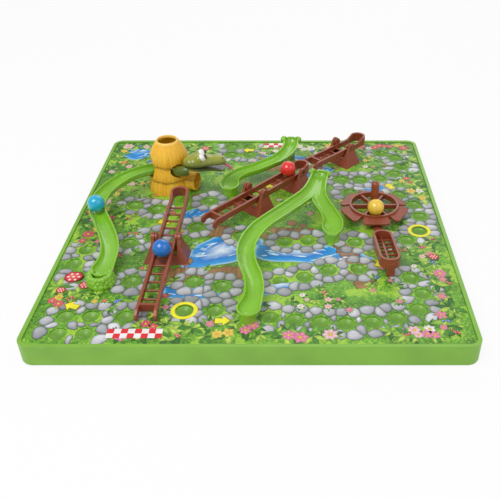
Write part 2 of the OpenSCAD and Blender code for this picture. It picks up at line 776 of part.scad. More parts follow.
module mill_trough() color(brown) translate([mill_at[0], mill_at[1], card_z]) rotate([0, 0, trough_turn]) {
  tilt = asin((trough_near_h - trough_far_h) / trough_l);
  translate([0, trough_near_y, trough_far_h]) rotate([-tilt, 0, 0]) {
    translate([0, 0, -trough_depth]) difference() {
      racetrack(trough_l, trough_w, trough_depth);
      translate([0, -trough_wall, -over])
        racetrack(trough_l - 2 * trough_wall, trough_w - 2 * trough_wall, trough_depth + 2 * over);
    }
    translate([-half * rung_d, half * trough_wall - trough_l, rung_lift - trough_depth])
      cube([rung_d, trough_l - trough_wall, rung_d]);
    for (y = [-trough_pitch : -trough_pitch : trough_pitch - trough_l])
      translate([-half * trough_w + half * trough_wall, y, half * rung_d + rung_lift - trough_depth])
        rotate([0, 90, 0]) cylinder(d = rung_d, h = trough_w - trough_wall);
  }
  translate([-half * stem_w, trough_near_y - trough_l - half * trough_wall, 0])
    cube([stem_w, trough_wall + half * trough_wall, trough_near_h - half * trough_depth]);
  difference() {
    union() {
      translate([-half * arm_w, trough_near_y - trough_wall, 0]) cube([arm_w, -trough_near_y, arm_h]);
      cylinder(r = collar_r, h = arm_h);
    }
    translate([0, 0, -over]) cylinder(r = half * post_d + run_gap, h = arm_h + 2 * over);
  }
}

module mill_post() color(brown) {
  head_z = wheel_foot_h + hub_h + seat_gap;
  translate([mill_at[0], mill_at[1], card_z]) {
    cylinder(d = post_d, h = head_z + over);
    translate([0, 0, head_z]) cylinder(d = post_head_d, h = post_h - head_z - half * post_head_d);
    translate([0, 0, post_h - half * post_head_d]) sphere(d = post_head_d);
  }
  pegs([mill_at]);
}

module paddle() {
  root = half * paddle_w - paddle_t;
  tip = half * paddle_w;
  long = paddle_reach - ring_r + ring_t;
  rotate([0, paddle_tilt, 0]) linear_extrude(paddle_t) polygon([
    [0, -0.86 * root], [0.7 * long, -tip], [0.9 * long, -0.94 * tip], [long, -0.8 * tip],
    [long, 0.8 * tip], [0.9 * long, 0.94 * tip], [0.7 * long, tip], [0, 0.86 * root]
  ]);
}

module mill_wheel() color(brown) translate([mill_at[0], mill_at[1], card_z]) {
  bore_r = half * post_d + run_gap;
  difference() {
    union() {
      translate([0, 0, wheel_foot_h]) cylinder(r = hub_r, h = hub_h);
      translate([0, 0, ring_h - ring_depth]) difference() {
        union() {
          cylinder(r = ring_r, h = ring_depth);
          for (k = [0:spoke_count - 1]) rotate([0, 0, (k + half) * 360 / spoke_count])
            translate([ring_r * cos(asin(half * paddle_w / ring_r)) - ring_t, 0, half * ring_depth]) paddle();
        }
        translate([0, 0, -over]) cylinder(r = ring_r - ring_t, h = ring_depth + 2 * over);
      }
      for (k = [0:spoke_count - 1]) rotate([0, 0, k * 360 / spoke_count])
        translate([half * hub_r, -half * spoke_t, ring_h - ring_depth])
          cube([ring_r - half * hub_r - half * ring_t, spoke_t, ring_depth - spoke_drop]);
    }
    translate([0, 0, -over]) cylinder(r = bore_r, h = ring_h + hub_h);
  }
}

// Balls, each at rest where the photograph has it
ball_r = half * ball_d;
ball_seat = rail_top + sqrt(ball_r * ball_r - rail_gap * rail_gap / 4) + seat_gap;
cyan_span = 4.7;
cyan_gap = 0.3;
yellow_out = 12.5;

module ball_on_ladder(at, heading, tip, y) {
  on_pivot(at, heading, tip) translate([0, y, ball_seat]) sphere(d = ball_d);
}
module ball_blue() color("blue")
  ball_on_ladder(front_stand_at, front_heading, front_ladder_tip, -0.21 * front_ladder_reach);
module ball_red() color("red")
  ball_on_ladder(middle_stand_at, middle_heading, 0, 0.63 * middle_ladder_tail);
module ball_cyan() color("deepskyblue") {
  ring = slide_ring(hut_slide_points, hut_top_h, 1, cyan_span);
  bed = half * slide_w - slide_rim;
  translate([ring[0][0], ring[0][1], ring[2] + sqrt(ball_r * ball_r - bed * bed) + cyan_gap]) sphere(d = ball_d);
}
module ball_yellow() color("gold") {
  spoke_z = ring_h - spoke_drop;
  bed = yellow_out * sin(180 / spoke_count) - half * spoke_t;
  translate([mill_at[0], mill_at[1] - yellow_out, card_z + spoke_z + sqrt(ball_r * ball_r - bed * bed) + seat_gap])
    sphere(d = ball_d);
}

base_tray();
printed_card();
hut_shell();
hut_post();
snake_neck();
snake_head();
snake_jaw();
snake_eyes();
snake_pupils();
snake_tongue();
slide_hut();
slide_fork();
fork_pillar();
slide_back();
back_pillar();
stand_front();
stand_middle();
stand_landing();
stand_back();
mill_trough();
mill_post();
mill_wheel();
ladder_front();
ladder_middle();
ladder_back();
ball_blue();
ball_cyan();
ball_red();
ball_yellow();
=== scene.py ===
import math
import random
import bmesh
import bpy
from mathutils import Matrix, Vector


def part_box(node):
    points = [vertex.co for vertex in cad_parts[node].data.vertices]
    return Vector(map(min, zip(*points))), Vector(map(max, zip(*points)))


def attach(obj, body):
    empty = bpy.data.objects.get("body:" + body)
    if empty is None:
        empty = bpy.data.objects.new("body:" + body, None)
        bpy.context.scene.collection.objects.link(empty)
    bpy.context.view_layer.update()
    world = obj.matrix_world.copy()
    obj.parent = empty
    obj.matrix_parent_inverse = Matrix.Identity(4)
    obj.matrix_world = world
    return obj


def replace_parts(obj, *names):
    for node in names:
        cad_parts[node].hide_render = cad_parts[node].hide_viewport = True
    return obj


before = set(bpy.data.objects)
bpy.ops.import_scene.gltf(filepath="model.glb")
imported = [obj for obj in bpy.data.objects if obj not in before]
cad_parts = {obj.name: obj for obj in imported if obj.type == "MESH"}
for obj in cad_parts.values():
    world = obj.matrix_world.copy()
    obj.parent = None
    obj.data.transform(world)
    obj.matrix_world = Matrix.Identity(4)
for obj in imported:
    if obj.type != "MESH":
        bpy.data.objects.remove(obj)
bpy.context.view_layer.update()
mm = 0.001
tau = 2 * math.pi


# Meshes are written in millimetres and stored in metres
def makePiece(name, points, faces, material, smoothAngle=35, inks=None):
    mesh = bpy.data.meshes.new(name)
    mesh.from_pydata([(p[0] * mm, p[1] * mm, p[2] * mm) for p in points], [], faces)
    if inks:
        layer = mesh.color_attributes.new("ink", "FLOAT_COLOR", "POINT")
        layer.data.foreach_set("color", [c for ink in inks for c in (*ink, 1.0)])
    mesh.validate()
    piece = bpy.data.objects.new(name, mesh)
    bpy.context.collection.objects.link(piece)
    piece.data.materials.append(material)
    if smoothAngle:
        smoothPiece(piece, smoothAngle)
    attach(piece, "board")
    return piece


def smoothPiece(piece, angle):
    mesh = piece.data
    mesh.polygons.foreach_set("use_smooth", [True] * len(mesh.polygons))
    mesh.set_sharp_from_angle(angle=math.radians(angle))
    mesh.update()


def outwards(piece):
    work = bmesh.new()
    work.from_mesh(piece.data)
    bmesh.ops.recalc_face_normals(work, faces=work.faces)
    work.to_mesh(piece.data)
    work.free()


def boxMm(node):
    low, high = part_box(node)
    return [c / mm for c in low], [c / mm for c in high]


def applyModifiers(piece):
    bpy.context.view_layer.update()
    shown = piece.evaluated_get(bpy.context.evaluated_depsgraph_get())
    mesh = bpy.data.meshes.new_from_object(shown)
    piece.modifiers.clear()
    piece.data = mesh


def ringFaces(first, second, count):
    # Four-sided faces between two closed rings of points, from the numbers of their first points
    faces = []
    for k in range(count):
        n = (k + 1) % count
        faces.append((first + k, first + n, second + n, second + k))
    return faces


def arrow(angle):
    # One millimetre long, at an angle in radians from +X
    return Vector((math.cos(angle), math.sin(angle)))


def leftOf(ahead):
    return Vector((-ahead.y, ahead.x))


def turned(x, y, angle):
    return Vector((x * math.cos(angle) - y * math.sin(angle), x * math.sin(angle) + y * math.cos(angle)))


def held(value, limit):
    return max(-limit, min(limit, value))


def mixInk(a, b, share):
    return tuple(a[i] + (b[i] - a[i]) * share for i in range(3))


def dimInk(ink, share):
    return tuple(c * share for c in ink)


# Camera, as the photograph was taken
camera = {
    "place": (28.85, -475.95, 319.53),
    "pitch": 55.09,
    "lens": 47.85,
    "sensor": 36,
    "shiftX": -0.086,
}


def addCamera():
    data = bpy.data.cameras.new("camera")
    data.sensor_width = camera["sensor"]
    data.lens = camera["lens"]
    data.shift_x = camera["shiftX"]
    data.clip_start = 0.02
    eye = bpy.data.objects.new("camera", data)
    eye.location = [c * mm for c in camera["place"]]
    eye.rotation_euler = (math.radians(camera["pitch"]), 0, 0)
    bpy.context.collection.objects.link(eye)
    bpy.context.scene.camera = eye
    bpy.context.scene.view_settings.view_transform = "Standard"


# Studio: a white room, one large soft lamp and two weak ones
studio = {
    "worldShare": 0.52,
    "floorSide": 6.0,
    "floorInk": (0.86, 0.86, 0.86),
    "floorLift": 0.9,
    "lamps": [
        ("keyLamp", (-0.55, -0.55, 1.15), 0.8, 9.5),
        ("fillLamp", (0.9, -0.5, 0.8), 1.0, 2.6),
        ("rimLamp", (0.2, 1.1, 0.8), 0.8, 2.4),
    ],
}


def addLight():
    world = bpy.data.worlds.new("studio")
    bpy.context.scene.world = world
    world.use_nodes = True
    tree = world.node_tree
    tree.nodes.clear()
    out = tree.nodes.new("ShaderNodeOutputWorld")
    room = tree.nodes.new("ShaderNodeBackground")
    room.inputs["Color"].default_value = (1, 1, 1, 1)
    room.inputs["Strength"].default_value = studio["worldShare"]
    backdrop = tree.nodes.new("ShaderNodeBackground")
    backdrop.inputs["Color"].default_value = (1, 1, 1, 1)
    rays = tree.nodes.new("ShaderNodeLightPath")
    mix = tree.nodes.new("ShaderNodeMixShader")
    tree.links.new(rays.outputs["Is Camera Ray"], mix.inputs[0])
    tree.links.new(room.outputs[0], mix.inputs[1])
    tree.links.new(backdrop.outputs[0], mix.inputs[2])
    tree.links.new(mix.outputs[0], out.inputs[0])
    for name, place, size, power in studio["lamps"]:
        lamp = bpy.data.lights.new(name, "AREA")
        lamp.shape = "SQUARE"
        lamp.size = size
        lamp.energy = power
        holder = bpy.data.objects.new(name, lamp)
        holder.location = place
        holder.rotation_euler = (-Vector(place)).to_track_quat("-Z", "Y").to_euler()
        bpy.context.collection.objects.link(holder)


def addFloor():
    material = bpy.data.materials.new("floor")
    material.use_nodes = True
    tree = material.node_tree
    tree.nodes.clear()
    out = tree.nodes.new("ShaderNodeOutputMaterial")
    matte = tree.nodes.new("ShaderNodeBsdfDiffuse")
    matte.inputs["Color"].default_value = (*studio["floorInk"], 1)
    glow = tree.nodes.new("ShaderNodeEmission")
    glow.inputs["Color"].default_value = (1, 1, 1, 1)
    both = tree.nodes.new("ShaderNodeMixShader")
    rays = tree.nodes.new("ShaderNodeLightPath")
    lift = tree.nodes.new("ShaderNodeMath")
    lift.operation = "MULTIPLY"
    lift.inputs[1].default_value = studio["floorLift"]
    tree.links.new(rays.outputs["Is Camera Ray"], lift.inputs[0])
    tree.links.new(lift.outputs[0], both.inputs[0])
    tree.links.new(matte.outputs[0], both.inputs[1])
    tree.links.new(glow.outputs[0], both.inputs[2])
    tree.links.new(both.outputs[0], out.inputs[0])
    reach = studio["floorSide"] / mm / 2
    low = boxMm("base_tray")[0][2] - 0.02
    corners = [(-reach, -reach, low), (reach, -reach, low), (reach, reach, low), (-reach, reach, low)]
    mesh = bpy.data.meshes.new("floor")
    mesh.from_pydata([(p[0] * mm, p[1] * mm, p[2] * mm) for p in corners], [], [(0, 1, 2, 3)])
    floor = bpy.data.objects.new("floor", mesh)
    floor.data.materials.append(material)
    bpy.context.collection.objects.link(floor)


# Shader node groups that several materials share
def startGroup(name, inputs, outputs):
    group = bpy.data.node_groups.new(name, "ShaderNodeTree")
    for label, kind, value in inputs:
        socket = group.interface.new_socket(label, in_out="INPUT", socket_type=kind)
        socket.default_value = value
    for label, kind in outputs:
        group.interface.new_socket(label, in_out="OUTPUT", socket_type=kind)
    start = group.nodes.new("NodeGroupInput")
    end = group.nodes.new("NodeGroupOutput")
    return group, start, end


def addNode(tree, kind, **settings):
    node = tree.nodes.new(kind)
    for key, value in settings.items():
        setattr(node, key, value)
    return node


def addMath(tree, operation, a, b=None, clamp=False):
    node = addNode(tree, "ShaderNodeMath", operation=operation, use_clamp=clamp)
    for socket, value in zip(node.inputs, (a, b)):
        if value is None:
            continue
        if isinstance(value, (int, float)):
            socket.default_value = value
        else:
            tree.links.new(value, socket)
    return node.outputs[0]


def addNoise(tree, vector, scale, detail=3.0, roughness=0.5, distortion=0.0):
    node = addNode(tree, "ShaderNodeTexNoise")
    node.inputs["Detail"].default_value = detail
    node.inputs["Roughness"].default_value = roughness
    node.inputs["Distortion"].default_value = distortion
    if isinstance(scale, (int, float)):
        node.inputs["Scale"].default_value = scale
    else:
        tree.links.new(scale, node.inputs["Scale"])
    tree.links.new(vector, node.inputs["Vector"])
    return node.outputs["Fac"]


def addRamp(tree, factor, stops):
    node = addNode(tree, "ShaderNodeValToRGB")
    bands = node.color_ramp.elements
    while len(bands) < len(stops):
        bands.new(0.5)
    for band, (place, ink) in zip(bands, stops):
        band.position = place
        band.color = (*ink, 1) if len(ink) == 3 else ink
    tree.links.new(factor, node.inputs[0])
    return node.outputs["Color"]


def addMix(tree, share, a, b, blend="MIX"):
    node = addNode(tree, "ShaderNodeMix", data_type="RGBA", blend_type=blend, clamp_result=True)
    for socket, value in ((node.inputs[0], share), (node.inputs[6], a), (node.inputs[7], b)):
        if isinstance(value, (int, float)):
            socket.default_value = value
        elif isinstance(value, tuple):
            socket.default_value = (*value, 1)
        else:
            tree.links.new(value, socket)
    return node.outputs[2]


def buildGrainGroup():
    # Fine moulding texture: a height for bump and a slow variation for colour and roughness
    group, start, end = startGroup(
        "mouldGrain",
        [("Fine Scale", "NodeSocketFloat", 900.0), ("Slow Scale", "NodeSocketFloat", 40.0)],
        [("Height", "NodeSocketFloat"), ("Slow", "NodeSocketFloat")],
    )
    place = addNode(group, "ShaderNodeTexCoord").outputs["Object"]
    fine = addNoise(group, place, start.outputs["Fine Scale"], 2.0)
    slow = addNoise(group, place, start.outputs["Slow Scale"], 3.0)
    group.links.new(fine, end.inputs["Height"])
    group.links.new(slow, end.inputs["Slow"])
    return group


def buildEdgeGroup():
    # Softened edges: a rounded normal, and a mask that is 1 where an edge is sharp
    group, start, end = startGroup(
        "softEdge",
        [("Radius", "NodeSocketFloat", 0.0004)],
        [("Normal", "NodeSocketVector"), ("Edge", "NodeSocketFloat")],
    )
    bevel = addNode(group, "ShaderNodeBevel", samples=4)
    group.links.new(start.outputs["Radius"], bevel.inputs["Radius"])
    flat = addNode(group, "ShaderNodeNewGeometry").outputs["Normal"]
    dot = addNode(group, "ShaderNodeVectorMath", operation="DOT_PRODUCT")
    group.links.new(bevel.outputs[0], dot.inputs[0])
    group.links.new(flat, dot.inputs[1])
    sharp = addMath(group, "SUBTRACT", 0.96, dot.outputs["Value"])
    mask = addMath(group, "MULTIPLY", sharp, 3.0, clamp=True)
    group.links.new(bevel.outputs[0], end.inputs["Normal"])
    group.links.new(mask, end.inputs["Edge"])
    return group


def buildTimberGroup():
    # Moulded wood grain that runs along a heading, in degrees from +X
    group, start, end = startGroup(
        "timberGrain",
        [
            ("Heading", "NodeSocketFloat", 0.0),
            ("Across", "NodeSocketFloat", 520.0),
            ("Along", "NodeSocketFloat", 45.0),
        ],
        [("Height", "NodeSocketFloat"), ("Dark", "NodeSocketFloat")],
    )
    place = addNode(group, "ShaderNodeTexCoord").outputs["Object"]
    turn = addNode(group, "ShaderNodeVectorRotate", rotation_type="Z_AXIS")
    group.links.new(place, turn.inputs["Vector"])
    back = addMath(group, "MULTIPLY", start.outputs["Heading"], -math.pi / 180)
    group.links.new(back, turn.inputs["Angle"])
    stretch = addNode(group, "ShaderNodeCombineXYZ")
    group.links.new(start.outputs["Along"], stretch.inputs[0])
    group.links.new(start.outputs["Across"], stretch.inputs[1])
    group.links.new(start.outputs["Across"], stretch.inputs[2])
    scaled = addNode(group, "ShaderNodeVectorMath", operation="MULTIPLY")
    group.links.new(turn.outputs[0], scaled.inputs[0])
    group.links.new(stretch.outputs[0], scaled.inputs[1])
    lines = addNoise(group, scaled.outputs[0], 1.0, 4.0, 0.6, 0.6)
    dark = addNode(group, "ShaderNodeMapRange")
    group.links.new(lines, dark.inputs["Value"])
    for socket, value in zip(("From Min", "From Max", "To Min", "To Max"), (0.35, 0.65, 1.0, 0.0)):
        dark.inputs[socket].default_value = value
    group.links.new(lines, end.inputs["Height"])
    group.links.new(dark.outputs[0], end.inputs["Dark"])
    return group


def useGroup(tree, group, **values):
    node = addNode(tree, "ShaderNodeGroup", node_tree=group)
    for label, value in values.items():
        node.inputs[label.replace("_", " ")].default_value = value
    return node


def startMaterial(name):
    material = bpy.data.materials.new(name)
    material.use_nodes = True
    tree = material.node_tree
    shader = tree.nodes["Principled BSDF"]
    return material, tree, shader


def addBump(tree, height, strength, distance, normal=None):
    bump = addNode(tree, "ShaderNodeBump")
    bump.inputs["Strength"].default_value = strength
    bump.inputs["Distance"].default_value = distance
    tree.links.new(height, bump.inputs["Height"])
    if normal is not None:
        tree.links.new(normal, bump.inputs["Normal"])
    return bump.outputs[0]


# Plain plastics: colour, painted highlight colour for sharp edges, roughness, clear coat and depth of the
# grain
plasticLooks = {
    "trayPlastic": {
        "ink": (0.215, 0.46, 0.045), "edgeHighlightInk": (0.42, 0.68, 0.16),
        "rough": 0.38, "coat": 0.15, "bump": 0.08,
    },
    "slidePlastic": {
        "ink": (0.235, 0.54, 0.022), "edgeHighlightInk": (0.55, 0.84, 0.20),
        "rough": 0.2, "coat": 0.7, "bump": 0.04,
    },
    "pegPlastic": {
        "ink": (0.16, 0.36, 0.04), "edgeHighlightInk": (0.36, 0.60, 0.15),
        "rough": 0.4, "coat": 0.1, "bump": 0.08,
    },
    "oliveNeck": {
        "ink": (0.1, 0.15, 0.014), "edgeHighlightInk": (0.22, 0.28, 0.05),
        "rough": 0.3, "coat": 0.4, "bump": 0.06,
    },
    "eyeWhite": {
        "ink": (0.86, 0.85, 0.80), "edgeHighlightInk": (0.95, 0.95, 0.92),
        "rough": 0.16, "coat": 0.6, "bump": 0.02,
    },
    "pupilBlack": {
        "ink": (0.018, 0.014, 0.012), "edgeHighlightInk": (0.05, 0.05, 0.05),
        "rough": 0.12, "coat": 0.8, "bump": 0.02,
    },
    "tonguePink": {
        "ink": (0.75, 0.035, 0.25), "edgeHighlightInk": (0.90, 0.22, 0.45),
        "rough": 0.35, "coat": 0.2, "bump": 0.06,
    },
    "ballBlue": {
        "ink": (0.0, 0.155, 0.56), "edgeHighlightInk": (0.0, 0.22, 0.66),
        "rough": 0.1, "coat": 0.9, "bump": 0.012,
    },
    "ballCyan": {
        "ink": (0.0, 0.4, 0.62), "edgeHighlightInk": (0.01, 0.50, 0.72),
        "rough": 0.1, "coat": 0.9, "bump": 0.012,
    },
    "ballRed": {
        "ink": (0.86, 0.022, 0.018), "edgeHighlightInk": (0.92, 0.06, 0.05),
        "rough": 0.1, "coat": 0.9, "bump": 0.012,
    },
    "ballYellow": {
        "ink": (0.93, 0.60, 0.05), "edgeHighlightInk": (0.96, 0.68, 0.12),
        "rough": 0.1, "coat": 0.9, "bump": 0.012,
    },
}


# The tray lies in the shade of the card wherever it is below it. Lengths are in metres
wellShadow = {
    "reach": 0.1505,
    "cardUnderside": 0.0168,
    "deepens": 240.0,
    "strength": 0.72,
    "ink": (0.07, 0.17, 0.02),
}


def wellShade(tree, ink):
    place = addNode(tree, "ShaderNodeTexCoord").outputs["Object"]
    parts = addNode(tree, "ShaderNodeSeparateXYZ")
    tree.links.new(place, parts.inputs[0])
    across = addMath(tree, "ABSOLUTE", parts.outputs[0])
    along = addMath(tree, "ABSOLUTE", parts.outputs[1])
    inside = addMath(tree, "LESS_THAN", addMath(tree, "MAXIMUM", across, along), wellShadow["reach"])
    depth = addMath(tree, "SUBTRACT", wellShadow["cardUnderside"], parts.outputs[2])
    deep = addMath(tree, "MULTIPLY", depth, wellShadow["deepens"], clamp=True)
    shade = addMath(tree, "MULTIPLY", deep, wellShadow["strength"])
    return addMix(tree, addMath(tree, "MULTIPLY", inside, shade), ink, wellShadow["ink"])


def plastic(name, wells=False):
    # Moulded plastic: a slow random change of tone, a painted highlight on sharp edges and a fine grain
    look = plasticLooks[name]
    material, tree, shader = startMaterial(name)
    fine = useGroup(tree, grainGroup)
    soft = useGroup(tree, edgeGroup)
    tones = [(0.3, dimInk(look["ink"], 0.90)), (0.7, dimInk(look["ink"], 1.08))]
    shade = addRamp(tree, fine.outputs["Slow"], tones)
    # Sharp edges are painted lighter, as a highlight
    lit = addMath(tree, "MULTIPLY", soft.outputs["Edge"], 0.5)
    finish = addMix(tree, lit, shade, look["edgeHighlightInk"])
    if wells:
        finish = wellShade(tree, finish)
    tree.links.new(finish, shader.inputs["Base Color"])
    rough = addMath(tree, "MULTIPLY_ADD", fine.outputs["Slow"], 0.16)
    rough.node.inputs[2].default_value = look["rough"] - 0.08
    tree.links.new(rough, shader.inputs["Roughness"])
    bumps = addBump(tree, fine.outputs["Height"], look["bump"], 0.0004, soft.outputs["Normal"])
    tree.links.new(bumps, shader.inputs["Normal"])
    shader.inputs["Coat Weight"].default_value = look["coat"]
    shader.inputs["Coat Roughness"].default_value = 0.12
    shader.inputs["Specular IOR Level"].default_value = 0.45
    return material


# Brown plastic with moulded wood grain. Headings are those of the grain, in degrees from +X
timber = {
    "ink": (0.30, 0.062, 0.024),
    "darkInk": (0.17, 0.030, 0.011),
    "edgeHighlightInk": (0.56, 0.17, 0.075),
    "rough": 0.34,
    "coat": 0.25,
    "grainDepth": 0.45,
    "headings": {
        "ladder_front": 87.5, "stand_front": 87.5,
        "ladder_middle": 49.6, "stand_middle": 49.6, "stand_landing": 49.6,
        "ladder_back": 45.4, "stand_back": 45.4,
        "mill_trough": 90.0, "mill_post": 90.0, "mill_wheel": 90.0,
    },
}


def timberPlastic(name, angle):
    material, tree, shader = startMaterial(name)
    wood = useGroup(tree, timberGroup, Heading=angle)
    fine = useGroup(tree, grainGroup)
    soft = useGroup(tree, edgeGroup)
    dark = addMath(tree, "MULTIPLY", wood.outputs["Dark"], 0.55)
    shade = addMix(tree, dark, timber["ink"], timber["darkInk"])
    patch = addMath(tree, "MULTIPLY", fine.outputs["Slow"], 0.35)
    slow = addMix(tree, patch, shade, dimInk(timber["ink"], 1.35))
    # Sharp edges are painted a lighter brown, as a highlight
    lit = addMath(tree, "MULTIPLY", soft.outputs["Edge"], 0.7)
    tree.links.new(addMix(tree, lit, slow, timber["edgeHighlightInk"]), shader.inputs["Base Color"])
    rough = addMath(tree, "MULTIPLY_ADD", wood.outputs["Height"], 0.22)
    rough.node.inputs[2].default_value = timber["rough"] - 0.1
    tree.links.new(rough, shader.inputs["Roughness"])
    bumps = addBump(tree, wood.outputs["Height"], timber["grainDepth"], 0.0005, soft.outputs["Normal"])
    tree.links.new(bumps, shader.inputs["Normal"])
    shader.inputs["Coat Weight"].default_value = timber["coat"]
    shader.inputs["Coat Roughness"].default_value = 0.2
    return material


def dress(node, material):
    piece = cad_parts[node]
    piece.data.materials.clear()
    piece.data.materials.append(material)
    return piece


addCamera()
addLight()
addFloor()
print("camera, lamps and floor in place")
grainGroup = buildGrainGroup()
edgeGroup = buildEdgeGroup()
timberGroup = buildTimberGroup()
trayPlastic = plastic("trayPlastic", wells=True)
slidePlastic = plastic("slidePlastic")
pegPlastic = plastic("pegPlastic")
dress("base_tray", trayPlastic)
for node in ("hut_post", "fork_pillar", "back_pillar"):
    dress(node, pegPlastic)
for node, angle in timber["headings"].items():
    dress(node, timberPlastic(node + "Wood", angle))
for colour in ("Blue", "Cyan", "Red", "Yellow"):
    dress("ball_" + colour.lower(), plastic("ball" + colour))
print("plastic and timber finishes on the plain pieces")


# Printed card. Its drawings are thin painted shapes that lie on the card, round the wells
card = {
    "ground": [(0.05, 0.19, 0.015), (0.14, 0.40, 0.025), (0.30, 0.58, 0.04)],
    "moss": (0.46, 0.66, 0.05),
    "fleck": (0.40, 0.62, 0.10),
    "varnish": 0.42,
    "seed": 4,
    "lift": 0.03,
    "edge": 148,
    "narrowestWell": 10,
    "widestWell": 14,
}
cardLevel = boxMm("printed_card")[1][2]
printEdge = boxMm("printed_card")[1][0] - 0.5


def findWells():
    # The card's round holes, from the walls of its mesh. The small ones take pegs and aren't wells
    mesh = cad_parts["printed_card"].data
    owner = {}

    def root(key):
        while owner[key] != key:
            owner[key] = owner[owner[key]]
            key = owner[key]
        return key

    for face in mesh.polygons:
        if abs(face.normal.z) > 0.5:
            continue
        keys = []
        for index in face.vertices:
            point = mesh.vertices[index].co
            keys.append((round(point.x / mm, 1), round(point.y / mm, 1)))
        for key in keys:
            owner.setdefault(key, key)
        for key in keys[1:]:
            owner[root(key)] = root(keys[0])
    loops = {}
    for key in owner:
        loops.setdefault(root(key), []).append(key)
    wells = []
    for loop in loops.values():
        xs = [p[0] for p in loop]
        ys = [p[1] for p in loop]
        wide = max(xs) - min(xs)
        if card["narrowestWell"] < wide < card["widestWell"]:
            wells.append(Vector(((max(xs) + min(xs)) / 2, (max(ys) + min(ys)) / 2)))
    return sorted(wells, key=lambda w: (round(w.y), round(w.x)))


def startPrint():
    return {"points": [], "faces": [], "inks": []}


def insideCard(point, height):
    # Nothing is printed past the edge of the card
    return (held(point[0], printEdge), held(point[1], printEdge), height)


def addShape(sheet, rings, centre, height):
    # Rings go from the outside in; each one is (outline, ink), and centre is (point, ink)
    first = len(sheet["points"])
    count = len(rings[0][0])
    for outline, ink in rings:
        sheet["points"] += [insideCard(p, height) for p in outline]
        sheet["inks"] += ink if isinstance(ink, list) else [ink] * count
    last = first + (len(rings) - 1) * count
    for ring in range(first, last, count):
        sheet["faces"] += ringFaces(ring, ring + count, count)
    hub = last + count
    sheet["points"].append(insideCard(centre[0], height))
    sheet["inks"].append(centre[1])
    for k in range(count):
        sheet["faces"].append((last + k, last + (k + 1) % count, hub))


def clipOutline(outline, point, normal):
    # Keeps the side that the normal points away from
    kept = []
    for i, b in enumerate(outline):
        a = outline[i - 1]
        da = (a - point).dot(normal)
        db = (b - point).dot(normal)
        if (da > 0) != (db > 0):
            kept.append(a + (b - a) * (da / (da - db)))
        if db <= 0:
            kept.append(b)
    return kept


def roundOutline(outline):
    for step in range(2):
        soft = []
        for i, b in enumerate(outline):
            a = outline[i - 1]
            soft += [a.lerp(b, 0.25), a.lerp(b, 0.75)]
        outline = soft
    return outline


def shrinkOutline(outline, centre, depth):
    smaller = []
    for p in outline:
        spoke = p - centre
        smaller.append(centre + spoke * max(0.0, 1 - depth / max(spoke.length, 0.01)))
    return smaller


def resample(outline, count):
    # The same outline with count points, evenly spread along it
    lengths = [0]
    for i in range(len(outline)):
        lengths.append(lengths[-1] + (outline[(i + 1) % len(outline)] - outline[i]).length)
    spread = []
    j = 0
    for k in range(count):
        want = lengths[-1] * k / count
        while lengths[j + 1] < want:
            j += 1
        share = (want - lengths[j]) / max(lengths[j + 1] - lengths[j], 1e-6)
        spread.append(outline[j].lerp(outline[(j + 1) % len(outline)], share))
    return spread


def nearest(point, places):
    return min((point - place).length for place in places)


# Grey stones in a ring round each well. Sizes are in millimetres, light is where it comes from
stones = {
    "inks": [(0.39, 0.405, 0.42), (0.46, 0.47, 0.49), (0.53, 0.54, 0.56), (0.34, 0.355, 0.37)],
    "mortar": (0.045, 0.10, 0.025),
    "ringRadius": 10.4,
    "perRing": 8,
    "reach": 6.9,
    "spacing": 5.3,
    "wellSpacing": 8.2,
    "wellRim": 6.35,
    "corners": 14,
    "points": 24,
    "light": Vector((-0.5, 0.85)),
}


def stonePlaces(wells, draw):
    places = []
    for well in wells:
        turn = draw.uniform(0, tau)
        for k in range(stones["perRing"]):
            angle = turn + tau * k / stones["perRing"] + draw.uniform(-0.12, 0.12)
            reach = stones["ringRadius"] + draw.uniform(-0.5, 0.9)
            place = well + arrow(angle) * reach
            others = [w for w in wells if w is not well]
            clear = nearest(place, others) > stones["wellSpacing"]
            alone = not places or nearest(place, places) > stones["spacing"]
            if clear and alone and max(abs(place.x), abs(place.y)) < card["edge"]:
                places.append(place)
    return places


def stoneOutline(place, places, wells, draw):
    # A lumpy round, cut where it meets its neighbours and the wells
    reach = stones["reach"] * draw.uniform(0.92, 1.12)
    outline = []
    for k in range(stones["corners"]):
        outline.append(place + arrow(tau * k / stones["corners"]) * reach * draw.uniform(0.86, 1.10))
    for other in places:
        gap = other - place
        if 0 < gap.length < 2.6 * stones["reach"]:
            outline = clipOutline(outline, place + gap / 2, gap.normalized())
    for well in wells:
        gap = well - place
        if gap.length < 3 * stones["wellRim"]:
            away = gap.normalized()
            for side in (-0.45, 0, 0.45):
                spoke = turned(away.x, away.y, side)
                outline = clipOutline(outline, well - spoke * stones["wellRim"], spoke)
    return outline


def drawStones(wells, draw, height):
    sheet = startPrint()
    places = stonePlaces(wells, draw)
    count = stones["points"]
    for place in places:
        outline = stoneOutline(place, places, wells, draw)
        if len(outline) < 4:
            continue
        middle = sum(outline, Vector((0, 0))) / len(outline)
        cell = resample(outline, count)
        body = resample(roundOutline(shrinkOutline(outline, middle, 0.45)), count)
        # Both rings start at the point that lies furthest along +X from the middle
        for ring in (cell, body):
            spokes = [math.cos(math.atan2(p.y - middle.y, p.x - middle.x)) for p in ring]
            start = spokes.index(max(spokes))
            ring[:] = ring[start:] + ring[:start]
        base = draw.choice(stones["inks"])
        base = dimInk(base, draw.uniform(0.85, 1.15))

        def shade(ring, share):
            inks = []
            for p in ring:
                spoke = p - middle
                toward = spoke.normalized().dot(stones["light"]) if spoke.length > 0.01 else 0
                inks.append(dimInk(base, share + 0.22 * toward))
            return inks

        core = shrinkOutline(body, middle, 0.9)
        heart = shrinkOutline(body, middle, 1.9)
        rings = [
            (cell, stones["mortar"]),
            (body, shade(body, 0.62)),
            (core, shade(core, 0.98)),
            (heart, shade(heart, 1.12)),
        ]
        addShape(sheet, rings, (middle, dimInk(base, 1.18)), height)
    return sheet


